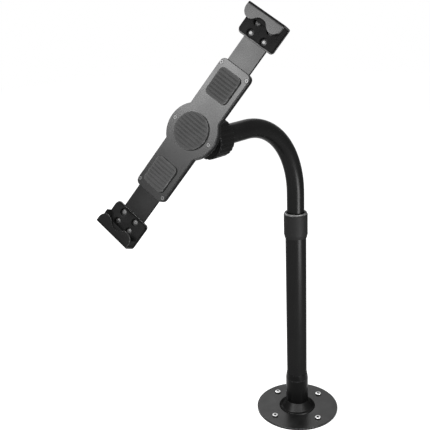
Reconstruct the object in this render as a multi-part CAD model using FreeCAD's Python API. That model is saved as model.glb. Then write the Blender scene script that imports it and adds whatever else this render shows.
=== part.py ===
import FreeCAD, Part
import math
import os

from FreeCAD import Matrix, Placement, Rotation, Vector

# A desk mount with a round base, a post, an inner tube with a quarter bend, a ball joint and a
# two-claw holder. Millimetres, +Z up. The origin lies on the post's axis at the underside of the
# base plate, and the bent tube reaches along -Y.

# Clearances
NEST_GAP = 0.1            # radial, between fixed pieces that nest
MOVE_GAP = 0.3            # between pieces that move against each other
SHAFT_GAP = 0.08          # radial, between a shaft and its bore
PAST = 1.0                # how far a cutting tool runs past the face that it cuts
SAME = 1e-6               # two places nearer than this are one

# Shares of a screw's or rivet's head, for its dome and its cross recess
DOME_BULGE_R = 0.8
DOME_BULGE_H = 0.6
DOME_FLAT_R = 0.25
RECESS_SPAN = 0.5
RECESS_FLOOR = 0.35
RECESS_ARM = 0.36
POINT_BLUNT = 0.3

# Base plate
PLATE_R = 58.0
PLATE_T = 3.0
PLATE_EDGE_R = 0.9

# Turned ring round the socket's foot
FLARE_H = 11.5
FLARE_LIP = 0.5           # flat edge at the ring's top
FLARE_CONE_W = 6.7        # from that edge out to the foot of the cone
FLARE_RIM_W = 2.8
FLARE_RIM_T = 1.0
FLARE_RIM_EDGE = 0.4

# Screws in the desk
DESK_SCREW_CIRCLE_R = 42.5
DESK_SCREW_COUNT = 4
DESK_SCREW_START_DEG = -13.5
DESK_SCREW_R = 2.0
DESK_SCREW_NECK = 0.2     # how much thicker the shank is inside the plate
DESK_SCREW_HEAD_R = 4.0
DESK_SCREW_HEAD_H = 2.3
DESK_SCREW_DEPTH = 16.0   # below the plate
DESK_SCREW_TIP = 4.0
DESK_HOLE_GAP = 0.2

# Socket and post
POLE_R = 14.0
POLE_WALL = 1.5
POLE_TOP = 285.0
SOCKET_WALL = 1.6
SOCKET_SHOULDER = 50.3    # height where the socket begins to taper
SOCKET_TOP = 58.5
SOCKET_TOP_EDGE = 0.4
SOCKET_GROOVE = 0.35
GRUB_R = 2.4
GRUB_HEIGHT = 30.0
GRUB_ANGLES_DEG = (100.0, 160.0)
HEX_R = 1.3
HEX_DEPTH = 1.4

# Clamp at the post's mouth
BUSH_LENGTH = 32.0
BUSH_FLANGE_T = 2.0
THREAD_WALL = 0.7
THREAD_LENGTH = 15.0
THREAD_DROP = 1.0         # from the post's top to the ferrule's top
COLLET_H = 7.0
COLLET_WALL = 2.8
COLLET_LIP = 0.9
COLLET_SLIT = 2.0
COLLAR_DROP = 21.0        # from the post's top down to the collar's bottom
COLLAR_RISE = 14.0
COLLAR_TAPER = 5.0
COLLAR_WALL = 0.8
COLLAR_FOOT_WALL = 0.5
COLLAR_TOP_EDGE_H = 2.6
COLLAR_TOP_EDGE_W = 1.2

# Bent tube
TUBE_R = 11.5
TUBE_WALL = 1.5
TUBE_BOTTOM = 110.0
BEND_R = 102.0
ARM_Z = 427.0
SLIDER_T = 6.0
SLIDER_SPIGOT = 18.0

# Ball joint, placed along the arm from the ball's centre
REACH = 162.0             # from the post's axis to the ball's centre
BALL_R = 14.0
SEAT_T = 1.7
SEAT_OPEN_DEG = 55.0
HOUSING_R = 18.0
HOUSING_FRONT = 3.0
HOUSING_BACK = 22.0
HOUSING_TAPER = 4.0
HOUSING_TAPER_L = 5.0
SPIGOT_L = 30.0
SPIGOT_SCREW_AT = 14.0
RING_R = 22.0
RING_BACK = 14.0
RING_FRONT = 10.0
RING_OPEN_DEG = 62.0
RING_EDGE = 1.2
RING_FLUTES = 24
RING_FLUTE_R = 1.6
RING_FLUTE_DEPTH = 0.9
NECK_R = 4.0
NECK_L = 12.0             # straight part of the neck, past the ball
NECK_FOOT_R = 8.5

# Holder, in its own frame: x along the claws, y across, z towards the front
HOLDER_AZIMUTH_DEG = -75.0
HOLDER_TILT_DEG = 20.5
CLAW_LINE_DEG = 57.0      # from the holder's right to the line of the claws
FACE_AHEAD = 60.0         # from the ball's centre to the plane where the grip's front pads end
GRIP_W = 169.5            # outline that the grip is set to at rest
GRIP_H = 240.0
GRIP_T = 7.5

# Claws
CLAW_T = 2.0
CLAW_REACH = 138.0        # from the holder's centre to a claw's outer face
CLAW_W = 47.5
CLAW_BEND_R = 1.8
FLANGE_L = 30.0
FLANGE_CORNER_R = 4.0
LIP_L = 14.5
LIP_VALLEY_L = 8.0
LIP_LOBE_R = 9.0
WINDOW_W = 26.0
FRONT_PAD_T = 2.0
BACK_PAD_T = 3.0
PAD_INSET = 0.75
FRONT_PAD_L = 9.5
FRONT_PAD_INSET = 2.75

# Sliding bars with their racks
MODULE = 1.0
PRESSURE_DEG = 20.0
PINION_TEETH = 16
ADDENDUM = 0.9
DEDENDUM = 1.25
BACKLASH = 0.3
BAR_W = 30.0
BAR_T = 3.0
BAR_INSET = 7.0           # from a claw's outer face back to the end of its bar
BAR_CORNER_R = 4.0
RETRACT_PITCHES = 6       # how far the claws can close and open from rest, in rack pitches
EXTEND_PITCHES = 10
SPARE_PITCHES = 2         # rack spaces beyond the last one that is used
LEG_TAIL = 2.0
FORK_GAP = 1.2            # between one bar's leg and the other bar's full width when closed
RIVET_R = 2.0
RIVET_HEAD_R = 3.6
RIVET_HEAD_H = 1.2
RIVET_ACROSS = 18.0
RIVET_ALONG = 12.0
RIVET_FROM_FACE = 12.0

# Holder body
SLIDE_GAP = 0.4           # in front of and behind the bars
HOUSING_HALF_L = 80.0
RAIL_W = 5.0
HUB_R = 30.0
BODY_CORNER_R = 6.0
FLOOR_T = 2.5
COVER_T = 1.8
COVER_EDGE = 0.7
BACK_EDGE = 1.5
COVER_SCREW_R = 1.25
COVER_SCREW_HEAD_R = 2.4
COVER_SCREW_L = 6.5
COVER_SCREW_FROM_END = 6.0
HUB_SCREW_FROM_RIM = 5.0
REST_PAD_T = 2.5
REST_PAD_L = 32.0
REST_PAD_W = 28.0
REST_PAD_CORNER_R = 5.0
REST_PAD_FROM_END = 8.0
HUB_PAD_R = 20.0
PINION_PIN_R = 3.0

# Swivel behind the holder
SWIVEL_FLANGE_R = 18.0
SWIVEL_FLANGE_T = 3.5
SWIVEL_WASHER_T = 1.0
SWIVEL_CAP_WALL = 5.7
SWIVEL_CAP_LIP_T = 2.5
SWIVEL_CAP_HOLE_R = 11.0
SWIVEL_CAP_EDGE = 1.0
SWIVEL_SCREWS = 4
SWIVEL_SCREW_START_DEG = 45.0
SMALL_SCREW_R = 1.25
SMALL_HEAD_R = 2.2
SMALL_HEAD_H = 1.6
SCREW_SHY = 0.3           # how far a screw's tip stays under the surface it points at

# Lock behind the holder
LOCK_PITCHES = 14         # from the pinion's axis to the lock, in rack pitches
LOCK_ACROSS = 3.0
LOCK_BODY_R = 12.0
LOCK_BODY_H = 14.0
LOCK_BODY_EDGE = 1.0
LOCK_EAR_T = 3.0
LOCK_EAR_R = 4.2
LOCK_EAR_AT = 15.5
PLUNGER_R = 7.5
PLUNGER_TRAVEL = 3.5
PLUNGER_TAIL = 4.0        # how far the plunger stands out behind its body when open
COMB_TEETH = 3
COMB_BACK_W = 1.9
COMB_SIDE_GAP = 0.25
KEY_PLUG_R = 4.7
KEY_PLUG_L = 10.0
KEY_PLUG_PROUD = 0.8
KEY_SLOT_W = 1.3
KEY_SLOT_L = 6.0
KEY_SLOT_DEPTH = 5.0

# Heights that follow, up the post
COLLAR_BOTTOM = POLE_TOP - COLLAR_DROP
COLLAR_TOP = POLE_TOP + COLLAR_RISE

# Heights that follow, in the holder's frame
LIP_BACK = FRONT_PAD_T
LIP_FRONT = LIP_BACK + CLAW_T
PAD_TOP = -GRIP_T
FLANGE_FRONT = PAD_TOP - BACK_PAD_T
BAR_FRONT = FLANGE_FRONT - CLAW_T
BAR_BACK = BAR_FRONT - BAR_T
FLOOR_FRONT = BAR_BACK - SLIDE_GAP
FLOOR_BACK = FLOOR_FRONT - FLOOR_T
COVER_BACK = BAR_FRONT + SLIDE_GAP
COVER_FRONT = COVER_BACK + COVER_T
PITCH = math.pi * MODULE
PITCH_R = PINION_TEETH * MODULE / 2
CHANNEL_HALF_W = BAR_W / 2 + MOVE_GAP
BODY_HALF_W = CHANNEL_HALF_W + RAIL_W
LOCK_X = LOCK_PITCHES * PITCH
LEG_END = (EXTEND_PITCHES + SPARE_PITCHES) * PITCH + LEG_TAIL
FORK_AT = LEG_END + 2 * RETRACT_PITCHES * PITCH + FORK_GAP

# Radii that follow
SOCKET_R = POLE_R + NEST_GAP + SOCKET_WALL
BUSH_BORE_R = TUBE_R + MOVE_GAP
THREAD_R = POLE_R + NEST_GAP + THREAD_WALL
COLLAR_R = THREAD_R + MOVE_GAP + COLLAR_WALL
SEAT_R = BALL_R + MOVE_GAP + SEAT_T
CAVITY_R = SEAT_R + MOVE_GAP
SPIGOT_R = TUBE_R - TUBE_WALL - NEST_GAP

# Distance of a quarter arc's middle from the two lines it joins, as a share of its radius
ARC_MIDDLE = 1 - math.sqrt(0.5)


def polygon_face(points):
    """Flat face inside a closed outline. A pair of points is an arc: through its first, to its second."""
    corners = [Vector(*p[-1]) if isinstance(p[0], tuple) else Vector(*p) for p in points]
    edges = []
    for index, step in enumerate(points):
        start = corners[index - 1]
        if isinstance(step[0], tuple):
            edges.append(Part.Arc(start, Vector(*step[0]), corners[index]).toShape())
        else:
            edges.append(Part.LineSegment(start, corners[index]).toShape())
    return Part.Face(Part.Wire(edges))


def turned(points):
    """Solid turned about Z from an outline of radius and height."""
    outline = []
    for step in points:
        if isinstance(step[0], tuple):
            outline.append(tuple((radius, 0.0, height) for radius, height in step))
        else:
            outline.append((step[0], 0.0, step[1]))
    return polygon_face(outline).revolve(Vector(0, 0, 0), Vector(0, 0, 1), 360)


def prism(points, low, high):
    """Solid with an outline in x and y, from one height to another."""
    outline = []
    for step in points:
        if isinstance(step[0], tuple):
            outline.append(tuple((x, y, low) for x, y in step))
        else:
            outline.append((step[0], step[1], low))
    return polygon_face(outline).extrude(Vector(0, 0, high - low))


def rod(radius, low, high, x=0.0, y=0.0):
    """Upright cylinder between two heights."""
    return Part.makeCylinder(radius, high - low, Vector(x, y, low))


def tube(outer, inner, low, high):
    """Upright pipe between two heights."""
    return rod(outer, low, high).cut(rod(inner, low, high))


def block(x_span, y_span, z_span):
    """Box between two values on each axis."""
    size = [high - low for low, high in (x_span, y_span, z_span)]
    return Part.makeBox(*size, Vector(x_span[0], y_span[0], z_span[0]))


def rounded_block(length, width, radius, low, high, x=0.0, y=0.0):
    """Slab with rounded upright corners, centred on x and y."""
    slab = block((x - length / 2, x + length / 2), (y - width / 2, y + width / 2), (low, high))
    return slab.makeFillet(radius, upright_edges(slab))


def upright_edges(shape):
    """Straight edges that run along Z."""
    found = []
    for edge in shape.Edges:
        first, last = edge.Vertexes[0].Point, edge.Vertexes[-1].Point
        if math.hypot(first.x - last.x, first.y - last.y) < SAME and abs(first.z - last.z) > SAME:
            found.append(edge)
    return found


def edges_at_height(shape, height):
    """Edges that lie flat at one height."""
    return [e for e in shape.Edges if all(abs(v.Point.z - height) < SAME for v in e.Vertexes)
            and abs(e.CenterOfMass.z - height) < SAME]


def around(shape, count, start_deg=0.0):
    """Copies of a shape at even angles about Z."""
    return [shape.copy().rotate(Vector(0, 0, 0), Vector(0, 0, 1), start_deg + index * 360 / count)
            for index in range(count)]


def cut_all(shape, tools):
    """Shape without any of the tools."""
    return shape.cut(Part.makeCompound(tools)) if tools else shape


def moved(shape, x=0.0, y=0.0, z=0.0):
    """Copy of a shape shifted by an offset."""
    copy = shape.copy()
    copy.translate(Vector(x, y, z))
    return copy


def placed(shape, placement):
    """Copy of a shape put at a placement."""
    copy = shape.copy()
    copy.Placement = placement.multiply(copy.Placement)
    return copy


def cross_recess(radius, low, high):
    """Cross-shaped tool for a screw's drive."""
    arm = radius * RECESS_ARM
    one = block((-radius, radius), (-arm / 2, arm / 2), (low, high))
    other = block((-arm / 2, arm / 2), (-radius, radius), (low, high))
    return one.fuse(other)


def hex_prism(radius, low, high):
    """Six-sided prism about Z."""
    angles = [index * math.pi / 3 for index in range(6)]
    return prism([(radius * math.cos(a), radius * math.sin(a)) for a in angles], low, high)


def button_screw(shank_r, neck_r, neck_l, head_r, head_h, length, tip):
    """Screw with a domed head above z = 0, and below it a neck and a pointed shank."""
    dome = ((head_r * DOME_BULGE_R, head_h * DOME_BULGE_H), (head_r * DOME_FLAT_R, head_h))
    body = turned([(0.0, -length), (shank_r * POINT_BLUNT, -length), (shank_r, -length + tip),
                   (shank_r, -neck_l), (neck_r, -neck_l), (neck_r, 0.0), (head_r, 0.0), dome, (0.0, head_h)])
    return body.cut(cross_recess(head_r * RECESS_SPAN, head_h * RECESS_FLOOR, 2 * head_h))


def countersunk_screw(shank_r, head_r, length):
    """Screw with its flat head flush at z = 0."""
    sink = head_r - shank_r
    body = turned([(0.0, 0.0), (0.0, -length), (shank_r, -length), (shank_r, -sink), (head_r, 0.0)])
    return body.cut(cross_recess(head_r * RECESS_SPAN, -sink, sink))


def grub_screw(radius, length):
    """Headless screw from z = 0 down, with a hexagon recess in its top."""
    return rod(radius, -length, 0.0).cut(hex_prism(HEX_R, -HEX_DEPTH, length))


# Places
BALL_CENTRE = Vector(0.0, -REACH, ARM_Z)
ON_SIDE = Rotation(Vector(1, 0, 0), 90)
ARM_FRAME = Placement(BALL_CENTRE, ON_SIDE)


def direction(azimuth_deg, tilt_deg):
    """Unit vector at an azimuth from +X and a rise from the horizontal."""
    azimuth = math.radians(azimuth_deg)
    tilt = math.radians(tilt_deg)
    return Vector(math.cos(azimuth) * math.cos(tilt), math.sin(azimuth) * math.cos(tilt), math.sin(tilt))


def frame_from(x_axis, y_axis, z_axis, origin):
    """Placement whose axes are three given unit vectors."""
    return Placement(Matrix(x_axis.x, y_axis.x, z_axis.x, origin.x,
                            x_axis.y, y_axis.y, z_axis.y, origin.y,
                            x_axis.z, y_axis.z, z_axis.z, origin.z,
                            0, 0, 0, 1))


FACE_NORMAL = direction(HOLDER_AZIMUTH_DEG, HOLDER_TILT_DEG)
FACE_UP = direction(HOLDER_AZIMUTH_DEG, HOLDER_TILT_DEG + 90)
FACE_RIGHT = FACE_UP.cross(FACE_NORMAL)
LINE_COS = math.cos(math.radians(CLAW_LINE_DEG))
LINE_SIN = math.sin(math.radians(CLAW_LINE_DEG))
CLAW_LINE = FACE_RIGHT * LINE_COS + FACE_UP * LINE_SIN
CLAW_SIDE = FACE_UP * LINE_COS - FACE_RIGHT * LINE_SIN
HOLDER_FRAME = frame_from(CLAW_LINE, CLAW_SIDE, FACE_NORMAL, BALL_CENTRE + FACE_NORMAL * FACE_AHEAD)
STUD_FRAME = frame_from(CLAW_LINE, CLAW_SIDE, FACE_NORMAL, BALL_CENTRE)
SEAT_AXIS = direction(HOLDER_AZIMUTH_DEG, 0.0)
SEAT_FRAME = frame_from(Vector(0, 0, 1).cross(SEAT_AXIS), Vector(0, 0, 1), SEAT_AXIS, BALL_CENTRE)
HALF_TURN = Placement(Vector(0, 0, 0), Rotation(Vector(0, 0, 1), 180))
LOWER_FRAME = HOLDER_FRAME.multiply(HALF_TURN)


# Base

def base_plate():
    edge = PLATE_EDGE_R * ARC_MIDDLE
    body = turned([(0.0, 0.0), (PLATE_R, 0.0), (PLATE_R, PLATE_T - PLATE_EDGE_R),
                   ((PLATE_R - edge, PLATE_T - edge), (PLATE_R - PLATE_EDGE_R, PLATE_T)), (0.0, PLATE_T)])
    hole_r = DESK_SCREW_R + DESK_SCREW_NECK + DESK_HOLE_GAP
    hole = rod(hole_r, -PLATE_T, 2 * PLATE_T, DESK_SCREW_CIRCLE_R)
    return cut_all(body, around(hole, DESK_SCREW_COUNT, DESK_SCREW_START_DEG))


def base_flare():
    bore = SOCKET_R + NEST_GAP
    cone_foot = bore + FLARE_LIP + FLARE_CONE_W
    rim = cone_foot + FLARE_RIM_W
    top = PLATE_T + FLARE_H
    rim_top = PLATE_T + FLARE_RIM_T
    return turned([(bore, PLATE_T), (rim, PLATE_T), (rim, rim_top - FLARE_RIM_EDGE),
                   (rim - FLARE_RIM_EDGE, rim_top), (cone_foot, rim_top), (bore + FLARE_LIP, top), (bore, top)])


def desk_screws():
    screw = button_screw(DESK_SCREW_R, DESK_SCREW_R + DESK_SCREW_NECK, PLATE_T, DESK_SCREW_HEAD_R,
                         DESK_SCREW_HEAD_H, DESK_SCREW_DEPTH + PLATE_T, DESK_SCREW_TIP)
    return Part.makeCompound(around(moved(screw, DESK_SCREW_CIRCLE_R, 0, PLATE_T),
                                    DESK_SCREW_COUNT, DESK_SCREW_START_DEG))


def grub_tools(radius):
    """Radial rods where the socket's grub screws go."""
    length = SOCKET_R - POLE_R + POLE_WALL
    return [radial(rod(radius, -length, 2 * length), angle) for angle in GRUB_ANGLES_DEG]


def radial(shape, angle_deg):
    """A shape built along Z, laid radially with its z = 0 on the socket's outside."""
    laid = placed(shape, Placement(Vector(SOCKET_R, 0, GRUB_HEIGHT), Rotation(Vector(0, 1, 0), 90)))
    return laid.rotate(Vector(0, 0, 0), Vector(0, 0, 1), angle_deg)


def socket_screws():
    length = SOCKET_R - POLE_R + POLE_WALL
    return Part.makeCompound([radial(grub_screw(GRUB_R, length), angle) for angle in GRUB_ANGLES_DEG])


def base_socket():
    bore = POLE_R + NEST_GAP
    groove_low = SOCKET_SHOULDER - 2 * SOCKET_GROOVE
    body = turned([(bore, PLATE_T), (SOCKET_R, PLATE_T), (SOCKET_R, groove_low),
                   (SOCKET_R - SOCKET_GROOVE, groove_low + SOCKET_GROOVE), (SOCKET_R, SOCKET_SHOULDER),
                   (bore + SOCKET_TOP_EDGE, SOCKET_TOP), (bore, SOCKET_TOP)])
    return cut_all(body, grub_tools(GRUB_R + NEST_GAP))


def pole():
    return cut_all(tube(POLE_R, POLE_R - POLE_WALL, PLATE_T, POLE_TOP), grub_tools(GRUB_R + NEST_GAP))


# Clamp

def pole_bush():
    outer = POLE_R - POLE_WALL - NEST_GAP
    low = POLE_TOP - BUSH_LENGTH
    high = POLE_TOP + BUSH_FLANGE_T
    return turned([(BUSH_BORE_R, low), (outer, low), (outer, POLE_TOP),
                   (POLE_R, POLE_TOP), (POLE_R, high), (BUSH_BORE_R, high)])


def collar_thread():
    top = POLE_TOP - THREAD_DROP
    return tube(THREAD_R, POLE_R + NEST_GAP, top - THREAD_LENGTH, top)


def clamp_collet():
    low = POLE_TOP + BUSH_FLANGE_T
    outer = BUSH_BORE_R + COLLET_WALL
    ring = turned([(BUSH_BORE_R, low), (outer, low), (outer, low + COLLET_H / 2),
                   (BUSH_BORE_R + COLLET_LIP, low + COLLET_H), (BUSH_BORE_R, low + COLLET_H)])
    slit = block((0.0, 2 * outer), (-COLLET_SLIT / 2, COLLET_SLIT / 2), (low - PAST, low + COLLET_H + PAST))
    return ring.cut(slit)


def lock_collar():
    low = POLE_TOP + BUSH_FLANGE_T
    seat_r = BUSH_BORE_R + COLLET_WALL + MOVE_GAP
    skirt_r = POLE_R + MOVE_GAP
    thread_low = POLE_TOP - THREAD_DROP - THREAD_LENGTH - MOVE_GAP
    cone_low = low + COLLET_H / 2 + MOVE_GAP
    cone_high = low + COLLET_H + MOVE_GAP
    cone_top = cone_high + COLLET_LIP + MOVE_GAP
    outside = [(skirt_r, COLLAR_BOTTOM), (skirt_r + COLLAR_FOOT_WALL, COLLAR_BOTTOM),
               (COLLAR_R, COLLAR_BOTTOM + COLLAR_TAPER), (COLLAR_R, COLLAR_TOP - COLLAR_TOP_EDGE_H),
               (COLLAR_R - COLLAR_TOP_EDGE_W, COLLAR_TOP)]
    inside = [(BUSH_BORE_R, COLLAR_TOP), (BUSH_BORE_R, cone_top),
              (BUSH_BORE_R + COLLET_LIP + MOVE_GAP, cone_high), (seat_r, cone_low), (seat_r, low),
              (THREAD_R + MOVE_GAP, low), (THREAD_R + MOVE_GAP, thread_low), (skirt_r, thread_low)]
    return turned(outside + inside)


# Bent tube

def bent_rod(radius, low):
    """Round bar along the tube's centre line, from a height up the post to the ball housing's back."""
    bend_z = ARM_Z - BEND_R
    end_y = -REACH + HOUSING_BACK
    corner = Vector(0, -BEND_R * ARC_MIDDLE, ARM_Z - BEND_R * ARC_MIDDLE)
    spine = Part.Wire([Part.LineSegment(Vector(0, 0, low), Vector(0, 0, bend_z)).toShape(),
                       Part.Arc(Vector(0, 0, bend_z), corner, Vector(0, -BEND_R, ARM_Z)).toShape(),
                       Part.LineSegment(Vector(0, -BEND_R, ARM_Z), Vector(0, end_y, ARM_Z)).toShape()])
    section = Part.Wire([Part.makeCircle(radius, Vector(0, 0, low), Vector(0, 0, 1))])
    return spine.makePipeShell([section], True, False)


def elbow_tube():
    body = bent_rod(TUBE_R, TUBE_BOTTOM).cut(bent_rod(TUBE_R - TUBE_WALL, TUBE_BOTTOM))
    return body.cut(spigot_screw_tool(GRUB_R + NEST_GAP))


def lift_slider():
    top = TUBE_BOTTOM - MOVE_GAP
    outer = POLE_R - POLE_WALL - MOVE_GAP
    spigot = TUBE_R - TUBE_WALL - MOVE_GAP
    return turned([(0.0, top - SLIDER_T), (outer, top - SLIDER_T), (outer, top), (spigot, top),
                   (spigot, top + SLIDER_SPIGOT), (0.0, top + SLIDER_SPIGOT)])


def spigot_screw_tool(radius):
    """Rod through the underside of the tube and its spigot, where their grub screw goes."""
    along = -HOUSING_BACK - SPIGOT_SCREW_AT
    tool = placed(rod(radius, 0.0, 2 * TUBE_R), Placement(Vector(0, 0, along), ON_SIDE))
    return placed(tool, ARM_FRAME)


def housing_screw():
    along = -HOUSING_BACK - SPIGOT_SCREW_AT
    length = TUBE_R / 2
    screw = placed(grub_screw(GRUB_R, length), Placement(Vector(0, -TUBE_R, along), ON_SIDE))
    return placed(screw, ARM_FRAME)


def ball_housing():
    rim_r = math.sqrt(CAVITY_R ** 2 - HOUSING_FRONT ** 2)
    tail = -HOUSING_BACK - SPIGOT_L
    body = turned([(0.0, tail), (SPIGOT_R, tail), (SPIGOT_R, -HOUSING_BACK),
                   (HOUSING_R - HOUSING_TAPER, -HOUSING_BACK), (HOUSING_R, -HOUSING_BACK + HOUSING_TAPER_L),
                   (HOUSING_R, HOUSING_FRONT), (rim_r, HOUSING_FRONT),
                   ((CAVITY_R * math.sqrt(0.5), -CAVITY_R * math.sqrt(0.5)), (0.0, -CAVITY_R))])
    return placed(body, ARM_FRAME).cut(spigot_screw_tool(GRUB_R + NEST_GAP))


def ball_ring():
    step = HOUSING_FRONT + MOVE_GAP
    mouth = math.radians(RING_OPEN_DEG)
    middle = (mouth + math.acos(step / CAVITY_R)) / 2
    body = turned([(HOUSING_R + MOVE_GAP, -RING_BACK), (RING_R - RING_EDGE, -RING_BACK),
                   (RING_R, -RING_BACK + RING_EDGE), (RING_R, RING_FRONT - RING_EDGE),
                   (RING_R - RING_EDGE, RING_FRONT), (RING_FRONT * math.tan(mouth), RING_FRONT),
                   (CAVITY_R * math.sin(mouth), CAVITY_R * math.cos(mouth)),
                   ((CAVITY_R * math.sin(middle), CAVITY_R * math.cos(middle)),
                    (math.sqrt(CAVITY_R ** 2 - step ** 2), step)),
                   (HOUSING_R + MOVE_GAP, step)])
    flute = rod(RING_FLUTE_R, -RING_BACK, RING_FRONT, RING_R + RING_FLUTE_R - RING_FLUTE_DEPTH)
    return placed(cut_all(body, around(flute, RING_FLUTES)), ARM_FRAME)


def ball_seat():
    half = math.radians(SEAT_OPEN_DEG)
    inner = BALL_R + MOVE_GAP
    middle = (half + math.pi) / 2
    shell = turned([(0.0, -SEAT_R), ((SEAT_R * math.sin(middle), SEAT_R * math.cos(middle)),
                                     (SEAT_R * math.sin(half), SEAT_R * math.cos(half))),
                    (inner * math.sin(half), inner * math.cos(half)),
                    ((inner * math.sin(middle), inner * math.cos(middle)), (0.0, -inner))])
    return placed(shell, SEAT_FRAME)


def swivel_flange_span():
    """Distances of the stud's flange from the ball's centre."""
    far = FACE_AHEAD + FLOOR_BACK - SWIVEL_WASHER_T - MOVE_GAP
    return far - SWIVEL_FLANGE_T, far


def ball_stud():
    near, far = swivel_flange_span()
    root = math.sqrt(BALL_R ** 2 - NECK_R ** 2)
    body = turned([(0.0, -BALL_R), ((BALL_R, 0.0), (NECK_R, root)), (NECK_R, root + NECK_L),
                   (NECK_FOOT_R, near), (SWIVEL_FLANGE_R, near), (SWIVEL_FLANGE_R, far), (0.0, far)])
    return placed(body, STUD_FRAME)


# Holder body

def body_outline(low, high):
    """Slab with the holder's outline: a long bar with a round hub."""
    bar = rounded_block(2 * HOUSING_HALF_L, 2 * BODY_HALF_W, BODY_CORNER_R, low, high)
    return bar.fuse(rod(HUB_R, low, high)).removeSplitter()


def cover_screw_places():
    """Centres of the cover's screws."""
    x = HOUSING_HALF_L - COVER_SCREW_FROM_END
    y = CHANNEL_HALF_W + RAIL_W / 2
    hub_y = HUB_R - HUB_SCREW_FROM_RIM
    return [(end * x, side * y) for end in (-1, 1) for side in (-1, 1)] + [(0.0, hub_y), (0.0, -hub_y)]


def swivel_screw_circle():
    """Radius of the circle of the swivel cap's screws."""
    return SWIVEL_FLANGE_R + MOVE_GAP + SWIVEL_CAP_WALL / 2


def lock_window():
    """Opening in the holder's floor for the lock's comb."""
    half = COMB_TEETH * PITCH / 2 + MOVE_GAP
    low = PITCH_R - ADDENDUM - COMB_BACK_W - 2 * MOVE_GAP
    high = PITCH_R + DEDENDUM
    return block((LOCK_X - half, LOCK_X + half), (low, high), (FLOOR_BACK - PAST, FLOOR_FRONT + PAST))


def lock_screw_places():
    """Centres of the lock body's screws."""
    return [(LOCK_X - LOCK_EAR_AT, LOCK_ACROSS), (LOCK_X + LOCK_EAR_AT, LOCK_ACROSS)]


def holder_back():
    body = body_outline(FLOOR_BACK, COVER_BACK)
    body = body.makeChamfer(BACK_EDGE, edges_at_height(body, FLOOR_BACK))
    channel = block((-2 * HOUSING_HALF_L, 2 * HOUSING_HALF_L), (-CHANNEL_HALF_W, CHANNEL_HALF_W),
                    (FLOOR_FRONT, COVER_BACK + PAST))
    screw_low = COVER_FRONT - COVER_SCREW_L - MOVE_GAP
    tools = [channel, lock_window(), rod(PINION_PIN_R + NEST_GAP, FLOOR_BACK - PAST, FLOOR_FRONT + PAST)]
    screw_hole = rod(COVER_SCREW_R + NEST_GAP, screw_low, COVER_BACK + PAST)
    tools += [moved(screw_hole, x, y) for x, y in cover_screw_places()]
    small = rod(SMALL_SCREW_R + NEST_GAP, FLOOR_BACK - PAST, FLOOR_FRONT + PAST)
    tools += around(moved(small, swivel_screw_circle()), SWIVEL_SCREWS, SWIVEL_SCREW_START_DEG)
    tools += [moved(small, x, y) for x, y in lock_screw_places()]
    return cut_all(body, tools)


def holder_cover():
    plate = body_outline(COVER_BACK, COVER_FRONT)
    plate = plate.makeChamfer(COVER_EDGE, edges_at_height(plate, COVER_FRONT))
    sink = COVER_SCREW_HEAD_R - COVER_SCREW_R
    tool = turned([(0.0, PAST), (0.0, -2 * COVER_T), (COVER_SCREW_R + NEST_GAP, -2 * COVER_T),
                   (COVER_SCREW_R + NEST_GAP, -sink - NEST_GAP), (COVER_SCREW_HEAD_R + NEST_GAP, 0.0),
                   (COVER_SCREW_HEAD_R + NEST_GAP, PAST)])
    return cut_all(plate, [moved(tool, x, y, COVER_FRONT) for x, y in cover_screw_places()])


def cover_screws():
    screw = countersunk_screw(COVER_SCREW_R, COVER_SCREW_HEAD_R, COVER_SCREW_L)
    return Part.makeCompound([moved(screw, x, y, COVER_FRONT) for x, y in cover_screw_places()])


def rest_pads():
    top = COVER_FRONT + REST_PAD_T
    x = HOUSING_HALF_L - REST_PAD_FROM_END - REST_PAD_L / 2
    ends = [rounded_block(REST_PAD_L, REST_PAD_W, REST_PAD_CORNER_R, COVER_FRONT, top, end) for end in (-x, x)]
    return Part.makeCompound(ends + [rod(HUB_PAD_R, COVER_FRONT, top)])


def pinion_pin():
    return rod(PINION_PIN_R, FLOOR_BACK, COVER_BACK)


def swivel_washer():
    return rod(SWIVEL_FLANGE_R, FLOOR_BACK - SWIVEL_WASHER_T, FLOOR_BACK)


def swivel_cap_back():
    """Height of the swivel cap's rear face."""
    flange_back = FLOOR_BACK - SWIVEL_WASHER_T - MOVE_GAP - SWIVEL_FLANGE_T
    return flange_back - MOVE_GAP - SWIVEL_CAP_LIP_T


def swivel_cap():
    back = swivel_cap_back()
    bore = SWIVEL_FLANGE_R + MOVE_GAP
    outer = bore + SWIVEL_CAP_WALL
    body = turned([(SWIVEL_CAP_HOLE_R, back), (outer - SWIVEL_CAP_EDGE, back), (outer, back + SWIVEL_CAP_EDGE),
                   (outer, FLOOR_BACK), (bore, FLOOR_BACK), (bore, back + SWIVEL_CAP_LIP_T),
                   (SWIVEL_CAP_HOLE_R, back + SWIVEL_CAP_LIP_T)])
    sink = rod(SMALL_HEAD_R + NEST_GAP, back - PAST, back + SMALL_HEAD_H + NEST_GAP, swivel_screw_circle())
    hole = rod(SMALL_SCREW_R + NEST_GAP, back - PAST, FLOOR_BACK + PAST, swivel_screw_circle())
    return cut_all(body, around(sink.fuse(hole), SWIVEL_SCREWS, SWIVEL_SCREW_START_DEG))


def small_screw(head_back, tip):
    """Pan-head screw whose head starts at one height behind the holder and whose tip ends at another."""
    screw = rod(SMALL_HEAD_R, 0.0, SMALL_HEAD_H).fuse(rod(SMALL_SCREW_R, 0.0, tip - head_back))
    return moved(screw.cut(hex_prism(HEX_R, -PAST, SMALL_HEAD_H / 2)), 0, 0, head_back)


def swivel_screws():
    screw = small_screw(swivel_cap_back(), FLOOR_FRONT - SCREW_SHY)
    on_circle = moved(screw, swivel_screw_circle())
    return Part.makeCompound(around(on_circle, SWIVEL_SCREWS, SWIVEL_SCREW_START_DEG))


# Lock

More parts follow.
